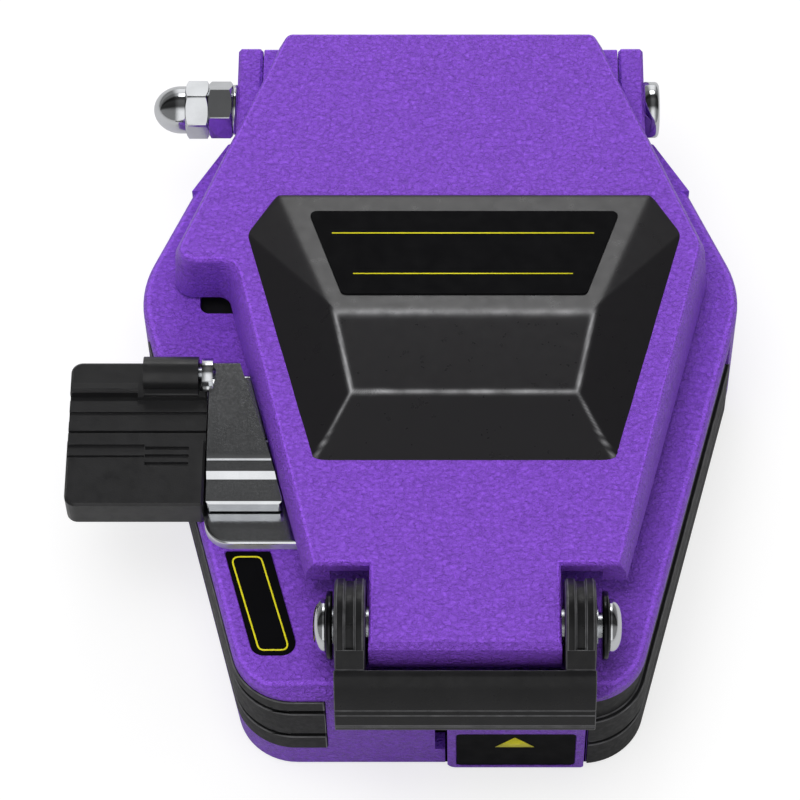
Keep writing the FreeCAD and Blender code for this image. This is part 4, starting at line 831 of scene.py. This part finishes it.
# ------------------------------------------------------------------ floor, lights, camera
def backdrop():
    """Pale floor that looks white to the camera, with a dark patch under the body as a painted shadow."""
    reach, shadow_patch = 3000.0, 4
    columns, rows = (-reach, -1.0, 19.8, reach), (-reach, -42.8, -10.0, reach)
    first_corners = [4 * row + column for row in range(3) for column in range(3)]
    mesh = bpy.data.meshes.new("floor")
    mesh.from_pydata([(x * MM, y * MM, 0) for y in rows for x in columns], [],
                     [(i, i + 1, i + 5, i + 4) for i in first_corners])
    seen_grey, seen_glow, glossy_glow = 0.4, 0.7, 0.15
    m = Shader("floor_white", "#c4c4c4", 0.9, specular=0.1)
    ray = m.node("ShaderNodeLightPath").outputs
    m.set("Base Color", m.blend(ray["Is Camera Ray"], m.colour, [seen_grey, seen_grey, seen_grey, 1]))
    m.set("Emission Color", [1, 1, 1, 1])
    in_reflections = m.maths("MULTIPLY", ray["Is Glossy Ray"], glossy_glow)
    m.set("Emission Strength", m.maths("MULTIPLY_ADD", ray["Is Camera Ray"], seen_glow, in_reflections))
    mesh.materials.append(m.material)
    # painted shadow: a dark patch of floor under the body
    mesh.materials.append(Shader("floor_painted_shadow", "#1c1c1e", 0.9, specular=0.1).material)
    mesh.polygons[shadow_patch].material_index = 1
    floor = placed("floor", mesh)


world_light, dark_aside = 0.5, 0.22
# the world's light in reflections, by the angle over the top in degrees from behind
ceiling = [(0, 1.0), (30, 1.0), (34, 0.57), (49, 0.57), (55, 0.06), (68, 0.05), (78, 0.14), (108, 0.1),
           (122, 0.8), (132, 1.0)]


def studio_world():
    """Even world; in reflections it is white low down, and dark overhead and aside like a ceiling."""
    world = bpy.data.worlds.new("studio")
    bpy.context.scene.world = world
    world.use_nodes = True
    n = Nodes(world.node_tree)
    background = n.tree.nodes["Background"]
    background.inputs["Color"].default_value = [1, 1, 1, 1]
    ray = n.node("ShaderNodeLightPath").outputs
    axes = n.axes_of("Generated")
    over_the_top = n.maths("DIVIDE", n.maths("ARCTAN2", axes["Z"], axes["Y"]), math.pi)
    overhead = n.ramp(over_the_top, [(degrees / 180, level) for degrees, level in ceiling])
    aside = n.remap(n.maths("ABSOLUTE", axes["X"]), 0.12, 0.36, 1.0, dark_aside)
    dimmed = n.maths("MULTIPLY", overhead, aside)
    reflected = n.blend(ray["Is Glossy Ray"], world_light, dimmed, kind="FLOAT")
    seen = n.maths("MAXIMUM", ray["Is Camera Ray"], ray["Is Transmission Ray"])
    n.feed(n.blend(seen, reflected, 1.0, kind="FLOAT"), background.inputs["Strength"])


def softbox(name, where, size, radiance, in_reflections=True):
    """Rectangular lamp facing the object; millimetres, and watts per square metre and steradian."""
    lamp = bpy.data.lights.new(name, "AREA")
    lamp.shape = "RECTANGLE"
    lamp.size, lamp.size_y = size[0] * MM, size[1] * MM
    lamp.energy = radiance * math.pi * lamp.size * lamp.size_y
    holder = placed(name, lamp)
    holder.location = Vector(where) * MM
    facing = Vector((0, 0, 20)) * MM - holder.location
    holder.rotation_euler = facing.to_track_quat("-Z", "Y").to_euler()
    holder.visible_glossy = in_reflections


def lights():
    """Broad lamp over the object that reflections don't show, and one behind it."""
    softbox("overhead", (-60, -40, 420), (240, 240), 3.6, False)
    softbox("back", (0, 310, 310), (170, 100), 3.9)


def camera():
    """Looks down at 60 degrees from straight in front."""
    data = bpy.data.cameras.new("camera")
    data.lens = 166.5
    data.sensor_width = 36
    data.shift_x = -0.075
    target = Vector((2.65, 0, 21)) * MM
    tilt, distance = math.radians(30), 490 * MM
    eye = placed("camera", data)
    eye.location = target + Vector((0, -math.sin(tilt), math.cos(tilt))) * distance
    eye.rotation_euler = (tilt, 0, 0)
    bpy.context.scene.camera = eye


dress_nodes()
round_nodes()
finish_platform_walls()
lid_cheeks()
hinge_hardware()
bolt_head()
latch_hardware()
bail()
cap()
cap_lines()
push_mark()
dust_border()
flap_curl()
backdrop()
studio_world()
lights()
camera()
bpy.context.scene.view_settings.view_transform = "Standard"
